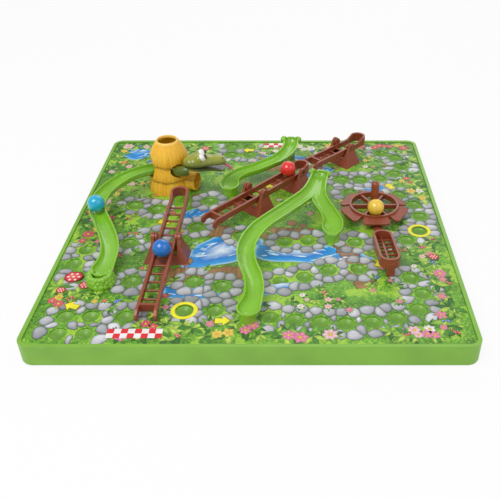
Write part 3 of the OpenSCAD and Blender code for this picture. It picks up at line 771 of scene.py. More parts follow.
def blob(centre, wide, high, turn, lobes, draw, count=48, waver=0.08):
    phases = [draw.uniform(0, tau) for lobe in lobes]
    outline = []
    for k in range(count):
        angle = tau * k / count
        reach = 1 + sum(waver * math.cos(lobe * angle + phase) for lobe, phase in zip(lobes, phases))
        x = wide * reach * math.cos(angle)
        y = high * reach * math.sin(angle)
        outline.append(centre + turned(x, y, turn))
    return outline


def keepOffWells(outline, centre, wells, gap):
    # Pulls each point in along its spoke until it and the spoke are clear of every well
    kept = []
    for p in outline:
        spoke = p - centre
        reach = spoke.length
        along = spoke.normalized()
        for well in wells:
            forward = (well - centre).dot(along)
            aside = abs((well - centre).cross(along))
            if forward > 0 and aside < gap:
                reach = min(reach, forward - math.sqrt(gap * gap - aside * aside))
        kept.append(centre + along * max(reach, 1.0))
    return kept


# Still water and its glints. Each place is centre, half width, half height and turn
waters = {
    "places": [
        ((-27, -42), 34, 20, 0.5), ((30, -42), 36, 19, -0.25), ((66, -62), 27, 17, 0.35),
        ((-52, 10), 18, 12, 0.9), ((20, 112), 30, 13, 0.1), ((-128, 128), 19, 14, 0.3),
        ((100, 62), 20, 11, -0.2), ((52, 88), 17, 11, 0.4), ((-44, -94), 25, 11, 0.05),
        ((20, -86), 26, 12, 0.1),
    ],
    "shares": (1.0, 0.95, 0.86, 0.55),
    "edge": (0.20, 0.10, 0.035),
    "bank": (0.42, 0.76, 0.92),
    "middle": (0.03, 0.36, 0.80),
    "deep": (0.01, 0.22, 0.66),
    "foam": (0.82, 0.92, 0.98),
    "foamFrom": 24,
    "wellGap": 8.5,
    "glintGap": 11,
    "areaPerGlint": 16,
}


def drawWaters(wells, draw, height):
    sheet = startPrint()
    inks = [waters[part] for part in ("edge", "bank", "middle", "deep")]
    for index, (place, wide, high, turn) in enumerate(waters["places"]):
        level = height + 0.004 * index
        centre = Vector(place)
        outline = blob(centre, wide, high, turn, (2, 3, 5), draw)
        outline = keepOffWells(outline, centre, wells, waters["wellGap"])
        outline = [Vector((held(p.x, card["edge"]), held(p.y, card["edge"]))) for p in outline]
        scaled = [[centre + (p - centre) * share for p in outline] for share in waters["shares"]]
        heart = waters["foam"] if wide > waters["foamFrom"] else waters["middle"]
        addShape(sheet, list(zip(scaled, inks)), (centre, heart), level)
        for k in range(int(wide * high / waters["areaPerGlint"])):
            start = centre + Vector((draw.uniform(-0.7, 0.7) * wide, draw.uniform(-0.6, 0.6) * high))
            if nearest(start, wells) < waters["glintGap"]:
                continue
            slant = turn + draw.uniform(-0.3, 0.3)
            glint = blob(start, draw.uniform(1.4, 6.0), draw.uniform(0.2, 0.9), slant, (2,), draw, 12)
            ink = mixInk(waters["bank"], waters["foam"], draw.uniform(0.2, 1.0))
            addShape(sheet, [(glint, ink)], (start, ink), level + 0.04 + 0.0003 * k)
    return sheet


woodInks = {
    "bark": (0.09, 0.03, 0.012),
    "wood": (0.36, 0.155, 0.05),
    "pale": (0.52, 0.27, 0.10),
    "ring": (0.28, 0.13, 0.05),
}
# Boardwalks of short planks over the water. Each path is from, to and half width
walks = {
    "paths": [
        ((-40, -14), (38, -20), 9.0), ((70, -34), (84, -92), 8.5), ((-72, -76), (-8, -72), 8.5),
        ((-16, 96), (60, 100), 8.0), ((-108, 36), (-92, 31), 6.0), ((-60, 38), (-50, 46), 5.0),
    ],
    "pitch": 3.9,
    "plankShare": 0.46,
    "wellClear": 7.6,
    "wellGap": 6.9,
    "edgePoints": 13,
}


def drawWalks(wells, draw, height):
    sheet = startPrint()
    pitch = walks["pitch"]
    half = walks["plankShare"] * pitch
    last = walks["edgePoints"] - 1
    for start, end, wide in walks["paths"]:
        run = Vector(end) - Vector(start)
        ahead = run.normalized()
        side = leftOf(ahead)
        for k in range(int(run.length / pitch)):
            middle = Vector(start) + ahead * pitch * (k + 0.5) + side * draw.uniform(-0.7, 0.7)
            if nearest(middle, wells) < walks["wellClear"]:
                middle += side * (wide * 0.9 if draw.random() < 0.5 else -wide * 0.9)
            if nearest(middle, wells) < walks["wellClear"]:
                continue
            reach = wide * draw.uniform(0.9, 1.1)
            edge = [side * reach * (1 - 2 * i / last) + ahead * half for i in range(last + 1)]
            edge += [side * reach * (2 * i / last - 1) - ahead * half for i in range(last + 1)]
            outline = keepOffWells([middle + p for p in edge], middle, wells, walks["wellGap"])
            inner = [middle + (p - middle) * 0.86 for p in outline]
            tone = mixInk(woodInks["wood"], woodInks["pale"], draw.random())
            rings = [(outline, woodInks["bark"]), (inner, dimInk(tone, 0.8))]
            addShape(sheet, rings, (middle, tone), height)
    return sheet


# Cut ends of logs laid as stepping rounds. Each row is centre, turn and number
logs = {
    "rows": [
        ((-5, -10), 0.8, 5), ((-62, -60), 0.2, 4), ((36, -8), 2.4, 4), ((70, 78), 0.5, 3),
        ((118, -118), 1.2, 3),
    ],
    "step": 9.5,
    "wellGap": 12,
    "rings": [
        (1, "bark"), (0.9, "bark"), (0.86, "pale"), (0.7, "wood"), (0.66, "ring"),
        (0.62, "pale"), (0.44, "wood"), (0.40, "ring"), (0.36, "pale"), (0.15, "wood"),
    ],
}


def drawLogs(wells, draw, height):
    sheet = startPrint()
    for place, turn, count in logs["rows"]:
        ahead = arrow(turn)
        for k in range(count):
            along = ahead * logs["step"] * (k - count / 2)
            centre = Vector(place) + along + leftOf(ahead) * draw.uniform(-2.5, 2.5)
            if nearest(centre, wells) < logs["wellGap"]:
                continue
            size = draw.uniform(3.6, 4.8)
            rings = []
            for share, ink in logs["rings"]:
                wide = size * share
                outline = blob(centre, wide, wide * 0.94, turn, (2, 3), random.Random(k), 26, 0.03)
                rings.append((outline, woodInks[ink]))
            addShape(sheet, rings, (centre, woodInks["ring"]), height)
    return sheet


def leafOutline(root, angle, long, wide, count=10):
    tip = arrow(angle)
    side = leftOf(tip)
    right = []
    left = []
    for k in range(count):
        share = k / (count - 1)
        bulge = math.sin(math.pi * share ** 0.8) * 0.5
        right.append(root + tip * long * share + side * wide * bulge)
        left.append(root + tip * long * share - side * wide * bulge)
    return right + left[-2:0:-1]


# Leafy tufts and blossom, which crowd the borders and thin out towards the middle
plants = {
    "leafInks": [
        (0.035, 0.16, 0.015), (0.07, 0.27, 0.02), (0.16, 0.42, 0.03), (0.30, 0.55, 0.05),
        (0.45, 0.66, 0.08),
    ],
    "petalInks": [
        (0.78, 0.03, 0.10), (0.88, 0.18, 0.38), (0.95, 0.55, 0.62), (0.92, 0.62, 0.02),
        (0.93, 0.90, 0.84), (0.80, 0.16, 0.02),
    ],
    "berryInks": ((0.70, 0.02, 0.03), (0.05, 0.12, 0.62)),
    "heart": (0.95, 0.72, 0.05),
    "heartEdge": (0.55, 0.30, 0.01),
    "tries": 2600,
    "reach": 145,
    "wellGap": 13.5,
    "spacing": 5.2,
}
white = (1, 1, 1)


def drawTuft(sheet, place, draw, height, size=1.0):
    count = draw.randint(7, 11)
    turn = draw.uniform(0, tau)
    for k in range(count):
        angle = turn + tau * k / count + draw.uniform(-0.2, 0.2)
        long = size * draw.uniform(3.6, 7.0)
        outline = leafOutline(place, angle, long, long * draw.uniform(0.30, 0.42))
        ink = draw.choice(plants["leafInks"])
        middle = place + arrow(angle) * long * 0.5
        level = height + draw.uniform(0, 0.02)
        addShape(sheet, [(outline, dimInk(ink, 0.62))], (middle, dimInk(ink, 1.3)), level)


def drawRosette(sheet, place, draw, height, size, ink):
    petals = draw.choice((5, 6, 7))
    turn = draw.uniform(0, tau)
    for k in range(petals):
        angle = turn + tau * k / petals
        outline = leafOutline(place, angle, size, size * 0.72, 8)
        middle = place + arrow(angle) * size * 0.55
        petal = [(outline, dimInk(ink, 0.75))]
        addShape(sheet, petal, (middle, mixInk(ink, white, 0.18)), height + 0.004 * k)
    heart = blob(place, size * 0.26, size * 0.26, 0, (2,), draw, 12, 0.02)
    addShape(sheet, [(heart, plants["heartEdge"])], (place, plants["heart"]), height + 0.04)


def drawBerries(sheet, place, draw, height, ink):
    for k in range(draw.randint(4, 7)):
        spot = place + Vector((draw.uniform(-3, 3), draw.uniform(-2.4, 2.4)))
        size = draw.uniform(0.8, 1.2)
        outline = blob(spot, size, size, 0, (2,), draw, 14, 0.02)
        inner = [spot + (p - spot) * 0.7 + Vector((-0.1, 0.14)) * size for p in outline]
        shine = spot + Vector((-0.3, 0.35)) * size
        berry = [(outline, dimInk(ink, 0.4)), (inner, ink)]
        addShape(sheet, berry, (shine, mixInk(ink, white, 0.7)), height + 0.003 * k)


def inWater(place):
    return any((place - Vector(water[0])).length < 0.72 * water[1] for water in waters["places"])


def drawPlants(wells, draw, low, high):
    leaves = startPrint()
    blossom = startPrint()
    placed = []
    reach = plants["reach"]
    inks = plants["petalInks"]
    for trial in range(plants["tries"]):
        place = Vector((draw.uniform(-reach, reach), draw.uniform(-reach, reach)))
        border = max(abs(place.x), abs(place.y)) / reach
        chance = 0.10 + 0.9 * max(0, (border - 0.62) / 0.38)
        if draw.random() > chance or nearest(place, wells) < plants["wellGap"] or inWater(place):
            continue
        if placed and nearest(place, placed) < plants["spacing"]:
            continue
        placed.append(place)
        lush = 1.0 + 0.9 * max(0, border - 0.8) / 0.2
        drawTuft(leaves, place, draw, low, lush * draw.uniform(0.7, 1.2))
        pick = draw.random()
        if pick < 0.36:
            zone = int(place.x > 0) + 2 * int(place.y > 20)
            ink = inks[(zone + draw.choice((0, 0, 1, 3))) % len(inks)]
            drawRosette(blossom, place, draw, high, lush * draw.uniform(1.9, 3.3), ink)
        elif pick < 0.46:
            drawBerries(blossom, place, draw, high, draw.choice(plants["berryInks"]))
    return leaves, blossom


# Red caps with pale dots. Each place is centre and radius
toadstools = {
    "places": [
        ((-136, -78), 7.0), ((-125, -88), 4.6), ((-141, -94), 3.6), ((139, -52), 4.0),
        ((-60, 138), 4.2),
    ],
    "rim": (0.30, 0.01, 0.02),
    "cap": (0.75, 0.03, 0.04),
    "shine": (0.92, 0.22, 0.18),
    "dotRim": (0.85, 0.80, 0.74),
    "dot": (0.96, 0.94, 0.90),
    "dots": 6,
}


def drawToadstools(sheet, draw, height):
    for place, size in toadstools["places"]:
        centre = Vector(place)
        outline = blob(centre, size, size * 0.92, 0, (2, 3), draw, 30, 0.03)
        inner = [centre + (p - centre) * 0.72 + Vector((-0.05, 0.08)) * size for p in outline]
        shine = centre + Vector((-0.2, 0.3)) * size
        rings = [(outline, toadstools["rim"]), (inner, toadstools["cap"])]
        addShape(sheet, rings, (shine, toadstools["shine"]), height)
        for k in range(toadstools["dots"] + 1):
            # The last dot is the one in the middle
            angle = tau * k / toadstools["dots"]
            reach = 0 if k == toadstools["dots"] else 0.58 * size
            spot = centre + arrow(angle) * reach
            dot = blob(spot, 0.15 * size, 0.13 * size, angle, (2,), draw, 12, 0.05)
            addShape(sheet, [(dot, toadstools["dotRim"])], (spot, toadstools["dot"]), height + 0.02)


# Plain yellow direction marks. Each place is centre and heading in degrees
pointer = {
    "places": [
        ((-128, -112), 160), ((-20, -128), 0), ((96, -60), 65), ((118, 60), 115), ((-80, -2), -20),
        ((8, 60), 160), ((-16, 134), 180),
    ],
    "outline": ((5.5, 0), (0.5, 5), (0.5, 2.2), (-5, 2.6), (-5, -2.6), (0.5, -2.2), (0.5, -5)),
    "faces": ((0, 1, 6), (2, 3, 4, 5), (1, 2, 5, 6)),
    "layers": ((1.18, (0.30, 0.20, 0.0), 0), (1.0, (0.93, 0.86, 0.02), 0.02)),
}


def drawPointers(sheet, height):
    for place, angle in pointer["places"]:
        ahead = arrow(math.radians(angle))
        side = leftOf(ahead)
        middle = Vector(place)
        for grow, ink, up in pointer["layers"]:
            outline = [middle + (ahead * a + side * b) * grow for a, b in pointer["outline"]]
            first = len(sheet["points"])
            sheet["points"] += [(p[0], p[1], height + up) for p in outline]
            sheet["inks"] += [ink] * len(outline)
            sheet["faces"] += [tuple(first + corner for corner in face) for face in pointer["faces"]]


# A plain chequered strip where the game starts and where it ends
checks = {
    "places": [((-78, -141), 8, 2), ((16, 145), 7, 2)],
    "side": 4.7,
    "inks": ((0.93, 0.92, 0.90), (0.80, 0.02, 0.03)),
}


def drawChecks(sheet, height):
    side = checks["side"]
    for place, columns, rows in checks["places"]:
        for i in range(columns):
            for j in range(rows):
                x = place[0] + (i - columns / 2) * side
                y = place[1] + (j - rows / 2) * side
                first = len(sheet["points"])
                corners = ((x, y), (x + side, y), (x + side, y + side), (x, y + side))
                sheet["points"] += [(*corner, height) for corner in corners]
                sheet["inks"] += [checks["inks"][(i + j) % 2]] * 4
                sheet["faces"].append((first, first + 1, first + 2, first + 3))


# Two wells have a plain yellow ring in place of some of their stones
goldRing = {
    "wells": [11, 33],
    "edge": (0.45, 0.38, 0.0),
    "ink": (0.93, 0.86, 0.02),
    "radii": ((9.6, "edge"), (9.2, "ink"), (7.0, "ink"), (6.5, "edge")),
    "points": 48,
}


def drawGoldRings(wells, sheet, height):
    count = goldRing["points"]
    for index in goldRing["wells"]:
        well = wells[index % len(wells)]
        first = len(sheet["points"])
        for reach, ink in goldRing["radii"]:
            for k in range(count):
                angle = tau * k / count
                x = well.x + reach * math.cos(angle)
                y = well.y + reach * math.sin(angle)
                sheet["points"].append((x, y, height))
                sheet["inks"].append(goldRing[ink])
        for ring in range(len(goldRing["radii"]) - 1):
            sheet["faces"] += ringFaces(first + ring * count, first + (ring + 1) * count, count)


def inkMaterial(name):
    # Printing ink: the painted colour with a little paper grain under a satin varnish
    material, tree, shader = startMaterial(name)
    ink = addNode(tree, "ShaderNodeAttribute", attribute_name="ink")
    fine = useGroup(tree, grainGroup, Fine_Scale=1400.0, Slow_Scale=260.0)
    tone = addRamp(tree, fine.outputs["Slow"], [(0.3, (0.82, 0.82, 0.82)), (0.7, (1.0, 1.0, 1.0))])
    tree.links.new(addMix(tree, 1.0, ink.outputs["Color"], tone, "MULTIPLY"), shader.inputs["Base Color"])
    shade = addMath(tree, "MULTIPLY_ADD", fine.outputs["Slow"], 0.12)
    shade.node.inputs[2].default_value = card["varnish"]
    tree.links.new(shade, shader.inputs["Roughness"])
    tree.links.new(addBump(tree, fine.outputs["Height"], 0.06, 0.0002), shader.inputs["Normal"])
    return material


def groundMaterial():
    # Grass and moss: three greens over two sizes of blotch, with leaf-sized flecks
    material, tree, shader = startMaterial("cardGround")
    place = addNode(tree, "ShaderNodeTexCoord").outputs["Object"]
    patches = addNoise(tree, place, 34.0, 4.0, 0.6)
    blades = addNoise(tree, place, 420.0, 3.0, 0.65, 1.5)
    cells = addNode(tree, "ShaderNodeTexVoronoi", feature="F1")
    cells.inputs["Scale"].default_value = 330.0
    tree.links.new(place, cells.inputs["Vector"])
    grass = addRamp(tree, blades, list(zip((0.32, 0.5, 0.68), card["ground"])))
    wide = addRamp(tree, patches, [(0.40, (0.55, 0.62, 0.50)), (0.60, (1.25, 1.2, 1.0))])
    green = addMix(tree, 1.0, grass, wide, "MULTIPLY")
    sun = addMath(tree, "MULTIPLY", addMath(tree, "GREATER_THAN", patches, 0.56), 0.45)
    lawn = addMix(tree, sun, green, card["moss"])
    fleck = addMath(tree, "MULTIPLY", addMath(tree, "LESS_THAN", cells.outputs["Distance"], 0.26), 0.5)
    tree.links.new(addMix(tree, fleck, lawn, card["fleck"]), shader.inputs["Base Color"])
    fine = useGroup(tree, grainGroup, Fine_Scale=1400.0)
    shader.inputs["Roughness"].default_value = 0.46
    tree.links.new(addBump(tree, fine.outputs["Height"], 0.06, 0.0002), shader.inputs["Normal"])
    return material


def printCard():
    draw = random.Random(card["seed"])
    wells = findWells()
    print("wells found:", len(wells))
    lift = card["lift"]
    ink = inkMaterial("printInk")
    dress("printed_card", groundMaterial())
    sheets = {}
    sheets["cardStones"] = drawStones(wells, draw, cardLevel + 4 * lift)
    sheets["cardWater"] = drawWaters(wells, draw, cardLevel + lift)
    sheets["cardWalks"] = drawWalks(wells, draw, cardLevel + 2.4 * lift)
    sheets["cardLogs"] = drawLogs(wells, draw, cardLevel + 3 * lift)
    leaves, blossom = drawPlants(wells, draw, cardLevel + 5 * lift, cardLevel + 6.5 * lift)
    sheets["cardLeaves"] = leaves
    sheets["cardBlossom"] = blossom
    marks = startPrint()
    drawToadstools(marks, draw, cardLevel + 8.5 * lift)
    drawPointers(marks, cardLevel + 8 * lift)
    drawChecks(marks, cardLevel + 8.5 * lift)
    drawGoldRings(wells, marks, cardLevel + 5.5 * lift)
    sheets["cardMarks"] = marks
    for name, sheet in sheets.items():
        makePiece(name, sheet["points"], sheet["faces"], ink, smoothAngle=None, inks=sheet["inks"])
        print(name, len(sheet["faces"]), "faces")


printCard()
print("card printed")


# Hut: a thatch in three tiers, with its door, tunnel and neck hole cut out of it
hut = {
    "place": (-82.615, 61.008),
    "outside": [
        # radius, height, how ragged the straw ends are there, tier
        (20.1, 0.0, 0.0, 0), (19.95, 2.2, 0.0, 0), (19.45, 5.0, 0.0, 0), (18.85, 8.0, 0.0, 0),
        (18.2, 11.0, 0.0, 0), (17.5, 13.8, 0.0, 0), (18.75, 12.9, 1.1, 1), (18.95, 13.9, 0.6, 1),
        (18.5, 16.4, 0.1, 1), (17.5, 19.4, 0.0, 1), (16.6, 22.6, 0.0, 1), (15.6, 27.0, 0.0, 1),
        (17.05, 26.0, 1.1, 2), (17.2, 27.0, 0.6, 2), (17.2, 29.4, 0.1, 2), (16.7, 33.0, 0.0, 2),
        (15.5, 36.8, 0.0, 2), (13.9, 40.0, 0.0, 2), (12.0, 42.9, 0.0, 2), (10.7, 45.0, 0.0, 2),
    ],
    "mouth": [(9.9, 46.3), (9.2, 46.95), (8.45, 46.8), (8.1, 46.1), (8.1, 44.8)],
    "inside": [
        (10.6, 42.4), (12.9, 39.2), (14.3, 35.6), (15.0, 31.6), (14.6, 27.8), (13.8, 25.0),
        (14.2, 20.0), (15.9, 13.4), (17.6, 6.0), (18.3, 0.0),
    ],
    "tall": 47,
    "spokes": 432,
    "strands": [38, 32, 28],
    "groove": 0.34,
    "grooveWidth": 0.26,
    "doorHeading": 196.7,
    "doorWidth": 8.2,
    "doorSill": 14.0,
    "doorSpring": 27.0,
    "tunnelHeading": -16,
    "tunnelHeight": 8.8,
    "tunnelRadius": 7.4,
    "porch": [
        # reach from the hut's middle, radius: outside first, then back through the tunnel
        (13.0, 8.0), (17.0, 8.15), (21.0, 8.3), (24.5, 8.7), (25.6, 8.75), (25.95, 8.3), (25.9, 7.5),
        (25.0, 7.4), (12.0, 7.4),
    ],
    "porchSpokes": 204,
    "porchStrands": 34,
    "porchGroovedRows": (0, 1, 2, 3, 4),
    "porchRaggedRows": (4, 5),
    "cutFrom": 10,
    "cutTo": 24,
    "cutPoints": 48,
    "neckHeading": -56,
    "neckHeight": 23.0,
    "neckRadius": 6.2,
    "seed": 9,
}


def strandEdges(count, draw):
    edges = [tau * (k + draw.uniform(-0.32, 0.32)) / count for k in range(count)]
    depths = [draw.uniform(0.35, 1.0) for edge in edges]
    lengths = [draw.uniform(-1.0, 1.0) for edge in edges]
    return edges, depths, lengths


def strandAt(angle, radius, edges, depths, lengths):
    # How deep the straw's groove is at this angle, and how long its strand is
    count = len(edges)
    k = int(angle / tau * count) % count
    gaps = {i % count: abs(math.remainder(angle - edges[i % count], tau)) for i in (k - 1, k, k + 1)}
    near = min(gaps, key=gaps.get)
    groove = hut["groove"] * depths[near] * math.exp(-((gaps[near] * radius / hut["grooveWidth"]) ** 2))
    return groove, lengths[near]


def hutRing(row, draws):
    radius, height, ragged, tier = row
    ring = []
    for k in range(hut["spokes"]):
        angle = tau * k / hut["spokes"]
        groove, length = strandAt(angle, radius, *draws[tier])
        reach = radius - groove
        ring.append((reach * math.cos(angle), reach * math.sin(angle), height + ragged * length))
    return ring


def fromHut(reach, side, up, heading):
    # A point seen from the hut's middle: how far out along a heading, to its left and up
    ahead = (math.cos(math.radians(heading)), math.sin(math.radians(heading)))
    return (
        hut["place"][0] + ahead[0] * reach - ahead[1] * side,
        hut["place"][1] + ahead[1] * reach + ahead[0] * side,
        cardLevel + up,
    )


def hutCutter(name, profile, heading):
    # A closed prism along a heading: profile is its outline across, as (sideways, up)
    points = []
    for reach in (hut["cutFrom"], hut["cutTo"]):
        points += [fromHut(reach, side, up, heading) for side, up in profile]
    count = len(profile)
    faces = [tuple(range(count))[::-1], tuple(range(count, 2 * count))]
    faces += ringFaces(0, count, count)
    mesh = bpy.data.meshes.new(name)
    mesh.from_pydata([(x * mm, y * mm, z * mm) for x, y, z in points], [], faces)
    cutter = bpy.data.objects.new(name, mesh)
    bpy.context.collection.objects.link(cutter)
    outwards(cutter)
    return cutter


def cutOut(piece, cutters):
    for cutter in cutters:
        cut = piece.modifiers.new("cut", "BOOLEAN")
        cut.operation = "DIFFERENCE"
        cut.solver = "MANIFOLD"
        cut.object = cutter
    applyModifiers(piece)
    for cutter in cutters:
        bpy.data.objects.remove(cutter)


def circleProfile(radius, height):
    angles = [tau * k / hut["cutPoints"] for k in range(hut["cutPoints"])]
    return [(radius * math.cos(angle), height + radius * math.sin(angle)) for angle in angles]


def archProfile(wide, sill, spring):
    half = hut["cutPoints"] // 2
    angles = [math.pi * k / half for k in range(half + 1)]
    arch = [(wide * math.cos(angle), spring + wide * math.sin(angle)) for angle in angles]
    return [(-wide, sill), (wide, sill)] + arch


# Straw colours from dark to light, as place on the ramp and colour
thatch = {
    "straw": [(0.30, (0.74, 0.32, 0.012)), (0.45, (0.97, 0.50, 0.022)), (0.62, (1.0, 0.64, 0.05))],
    "tiers": [
        # share of the hut's height, tone: each tier is painted dark below the straw ends of the next, as
        # shade
        (0.0, (0.86, 0.80, 0.70)), (0.12, (1.0, 1.0, 1.0)), (0.262, (0.98, 0.95, 0.92)),
        (0.268, (0.60, 0.50, 0.42)), (0.31, (0.92, 0.88, 0.84)), (0.42, (1.0, 1.0, 1.0)),
        (0.545, (0.98, 0.95, 0.92)), (0.552, (0.60, 0.50, 0.42)), (0.60, (0.94, 0.90, 0.86)),
        (0.72, (1.0, 1.0, 1.0)), (0.95, (1.0, 1.0, 1.0)),
    ],
    "crown": (1.0, 0.66, 0.16),
}


def thatchMaterial():
    # Straw: streaks that run down the thatch, painted shade at the tiers' ends and paler at the mouth
    material, tree, shader = startMaterial("thatch")
    place = addNode(tree, "ShaderNodeTexCoord").outputs["Object"]
    centre = addNode(tree, "ShaderNodeVectorMath", operation="SUBTRACT")
    tree.links.new(place, centre.inputs[0])
    centre.inputs[1].default_value = (hut["place"][0] * mm, hut["place"][1] * mm, cardLevel * mm)
    parts = addNode(tree, "ShaderNodeSeparateXYZ")
    tree.links.new(centre.outputs[0], parts.inputs[0])
    turn = addMath(tree, "ARCTAN2", parts.outputs[1], parts.outputs[0])
    height = addMath(tree, "DIVIDE", parts.outputs[2], hut["tall"] * mm)
    lines = addNode(tree, "ShaderNodeCombineXYZ")
    tree.links.new(addMath(tree, "MULTIPLY", turn, 26.0), lines.inputs[0])
    tree.links.new(addMath(tree, "MULTIPLY", height, 2.2), lines.inputs[1])
    streak = addNoise(tree, lines.outputs[0], 1.0, 4.0, 0.6, 0.3)
    fine = addNoise(tree, lines.outputs[0], 4.0, 3.0, 0.6, 0.2)
    straw = addRamp(tree, streak, thatch["straw"])
    thin = addRamp(tree, fine, [(0.35, (0.90, 0.86, 0.78)), (0.60, (1.0, 1.0, 1.0))])
    shade = addMix(tree, 1.0, straw, thin, "MULTIPLY")
    # Painted shade below each tier's straw ends
    toned = addMix(tree, 1.0, shade, addRamp(tree, height, thatch["tiers"]), "MULTIPLY")
    crown = addRamp(tree, height, [(0.955, (0.0, 0.0, 0.0)), (0.985, (0.75, 0.75, 0.75))])
    tree.links.new(addMix(tree, crown, toned, thatch["crown"]), shader.inputs["Base Color"])
    soft = useGroup(tree, edgeGroup)
    tree.links.new(addBump(tree, streak, 0.5, 0.0006, soft.outputs["Normal"]), shader.inputs["Normal"])
    shader.inputs["Roughness"].default_value = 0.42
    shader.inputs["Coat Weight"].default_value = 0.15
    shader.inputs["Coat Roughness"].default_value = 0.3
    return material


def buildShell(straw, draw):
    draws = [strandEdges(count, draw) for count in hut["strands"]]
    spokes = hut["spokes"]
    rings = [hutRing(row, draws) for row in hut["outside"]]
    for radius, height in hut["mouth"] + hut["inside"]:
        angles = [tau * k / spokes for k in range(spokes)]
        rings.append([(radius * math.cos(angle), radius * math.sin(angle), height) for angle in angles])
    place = hut["place"]
    points = [(place[0] + x, place[1] + y, cardLevel + z) for ring in rings for x, y, z in ring]
    faces = []
    for row in range(len(rings)):
        faces += ringFaces(row * spokes, (row + 1) % len(rings) * spokes, spokes)
    shell = makePiece("hutThatch", points, faces, straw)
    outwards(shell)
    door = archProfile(hut["doorWidth"], hut["doorSill"], hut["doorSpring"])
    tunnel = circleProfile(hut["tunnelRadius"], hut["tunnelHeight"])
    neck = circleProfile(hut["neckRadius"], hut["neckHeight"])
    cutters = [
        hutCutter("doorCut", door, hut["doorHeading"]),
        hutCutter("tunnelCut", tunnel, hut["tunnelHeading"]),
        hutCutter("neckCut", neck, hut["neckHeading"]),
    ]
    cutOut(shell, cutters)
    smoothPiece(shell, 40)
    shell.data.materials.clear()
    shell.data.materials.append(straw)
    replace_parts(shell, "hut_shell")


def buildPorch(straw, draw):
    draws = strandEdges(hut["porchStrands"], draw)
    count = hut["porchSpokes"]
    points = []
    for row, (reach, radius) in enumerate(hut["porch"]):
        for k in range(count):
            angle = tau * k / count
            groove, length = strandAt(angle, radius, *draws)
            thin = radius - groove if row in hut["porchGroovedRows"] else radius
            ragged = -0.5 * (1 + length) if row in hut["porchRaggedRows"] else 0.0
            up = max(hut["tunnelHeight"] + thin * math.sin(angle), 0.05)
            points.append(fromHut(reach + ragged, thin * math.cos(angle), up, hut["tunnelHeading"]))
    faces = []
    for row in range(len(hut["porch"])):
        faces += ringFaces(row * count, (row + 1) % len(hut["porch"]) * count, count)
    porch = makePiece("hutPorch", points, faces, straw, smoothAngle=40)
    outwards(porch)
    smoothPiece(porch, 40)


def buildHut():
    draw = random.Random(hut["seed"])
    straw = thatchMaterial()
    buildShell(straw, draw)
    buildPorch(straw, draw)


# Snake: a plain rounded head with brows and nostrils, its sides and mouth line painted darker as shade,
# over the same lines as the CAD
snake = {
    "place": (-48.585, 46.043),
    "height": 32.0,
    "heading": 8,
    "long": 37.0,
    "wide": 19.0,
    "skull": 8.2,
    "jaw": 4.2,
    "jawOpen": 9,
    "shares": [
        (-0.50, 0.30), (-0.46, 0.58), (-0.38, 0.84), (-0.25, 1.00), (-0.10, 0.98), (0.05, 0.84),
        (0.18, 0.74), (0.30, 0.74), (0.40, 0.70), (0.46, 0.55), (0.50, 0.30),
    ],
    "rows": 60,
    "columns": 40,
    # Skin colours: the sides are painted darker than the top, as shade; the paler belly under the jaw is
    # the snake's own colour
    "top": (0.36, 0.38, 0.035),
    "side": (0.16, 0.20, 0.016),
    "belly": (0.30, 0.30, 0.055),
    "mouth": (0.05, 0.02, 0.012),
    "brow": (4.5, 4.4, 4.55),
    "nostril": (0.9, 0.75, 0.55),
    "nostrilInk": (0.012, 0.012, 0.006),
}


def headPlace(x, y, z, jaw=False):
    if jaw:
        # The jaw swings about the back of the mouth
        angle = math.radians(snake["jawOpen"])
        reach = x + snake["long"] / 2
        drop = z - 0.15
        x = reach * math.cos(angle) + drop * math.sin(angle) - snake["long"] / 2
        z = drop * math.cos(angle) - reach * math.sin(angle)
    angle = math.radians(snake["heading"])
    return (
        snake["place"][0] + x * math.cos(angle) - y * math.sin(angle),
        snake["place"][1] + x * math.sin(angle) + y * math.cos(angle),
        cardLevel + snake["height"] + z,
    )


def headWidth(share):
    table = snake["shares"]
    for (a, wa), (b, wb) in zip(table, table[1:]):
        if share <= b:
            step = (share - a) / (b - a)
            return wa + (wb - wa) * (3 * step ** 2 - 2 * step ** 3)
    return table[-1][1]


def headHalf(name, height, material, jaw):
    rows = snake["rows"]
    count = snake["columns"]
    points = []
    inks = []
    for row in range(rows + 1):
        # Rows crowd towards the two ends, so that both are round
        share = -0.5 * math.cos(math.pi * row / rows)
        wide = headWidth(share)
        for k in range(count + 1):
            angle = math.pi * k / count
            rise = math.sin(angle) ** 0.8
            y = snake["wide"] / 2 * wide * math.cos(angle)
            points.append(headPlace(snake["long"] * share, y, height * wide * rise, jaw))
            # Painted shade: dark at the sides by the mouth, lighter up over the skull; the jaw runs to
            # its belly colour underneath
            tone = mixInk(snake["side"], snake["belly"] if jaw else snake["top"], rise ** 1.5)
            # A darker band along the mouth line, painted as shade
            mouthShade = 0.62 if rise < 0.22 else 1.0
            inks.append(dimInk(tone, mouthShade))
        points.append(headPlace(snake["long"] * share, 0, height * wide * 0.06, jaw))
        inks.append(snake["mouth"])
    ring = count + 2
    faces = []
    for row in range(rows):
        faces += ringFaces(row * ring, (row + 1) * ring, ring)
    faces += [tuple(range(ring)), tuple(range(rows * ring, (rows + 1) * ring))]
    piece = makePiece(name, points, faces, material, inks=inks)
    outwards(piece)
    smoothPiece(piece, 50)
    return piece


def ballPiece(name, centre, radii, material, count=24, ink=None):
    points = []
    for row in range(count + 1):
        tilt = math.pi * row / count
        for k in range(2 * count):
            angle = math.pi * k / count
            points.append((
                centre[0] + radii[0] * math.sin(tilt) * math.cos(angle),
                centre[1] + radii[1] * math.sin(tilt) * math.sin(angle),
                centre[2] + radii[2] * math.cos(tilt),
            ))
    faces = []
    for row in range(count):
        faces += ringFaces(row * 2 * count, (row + 1) * 2 * count, 2 * count)
    inks = [ink] * len(points) if ink else None
    makePiece(name, points, faces, material, inks=inks)


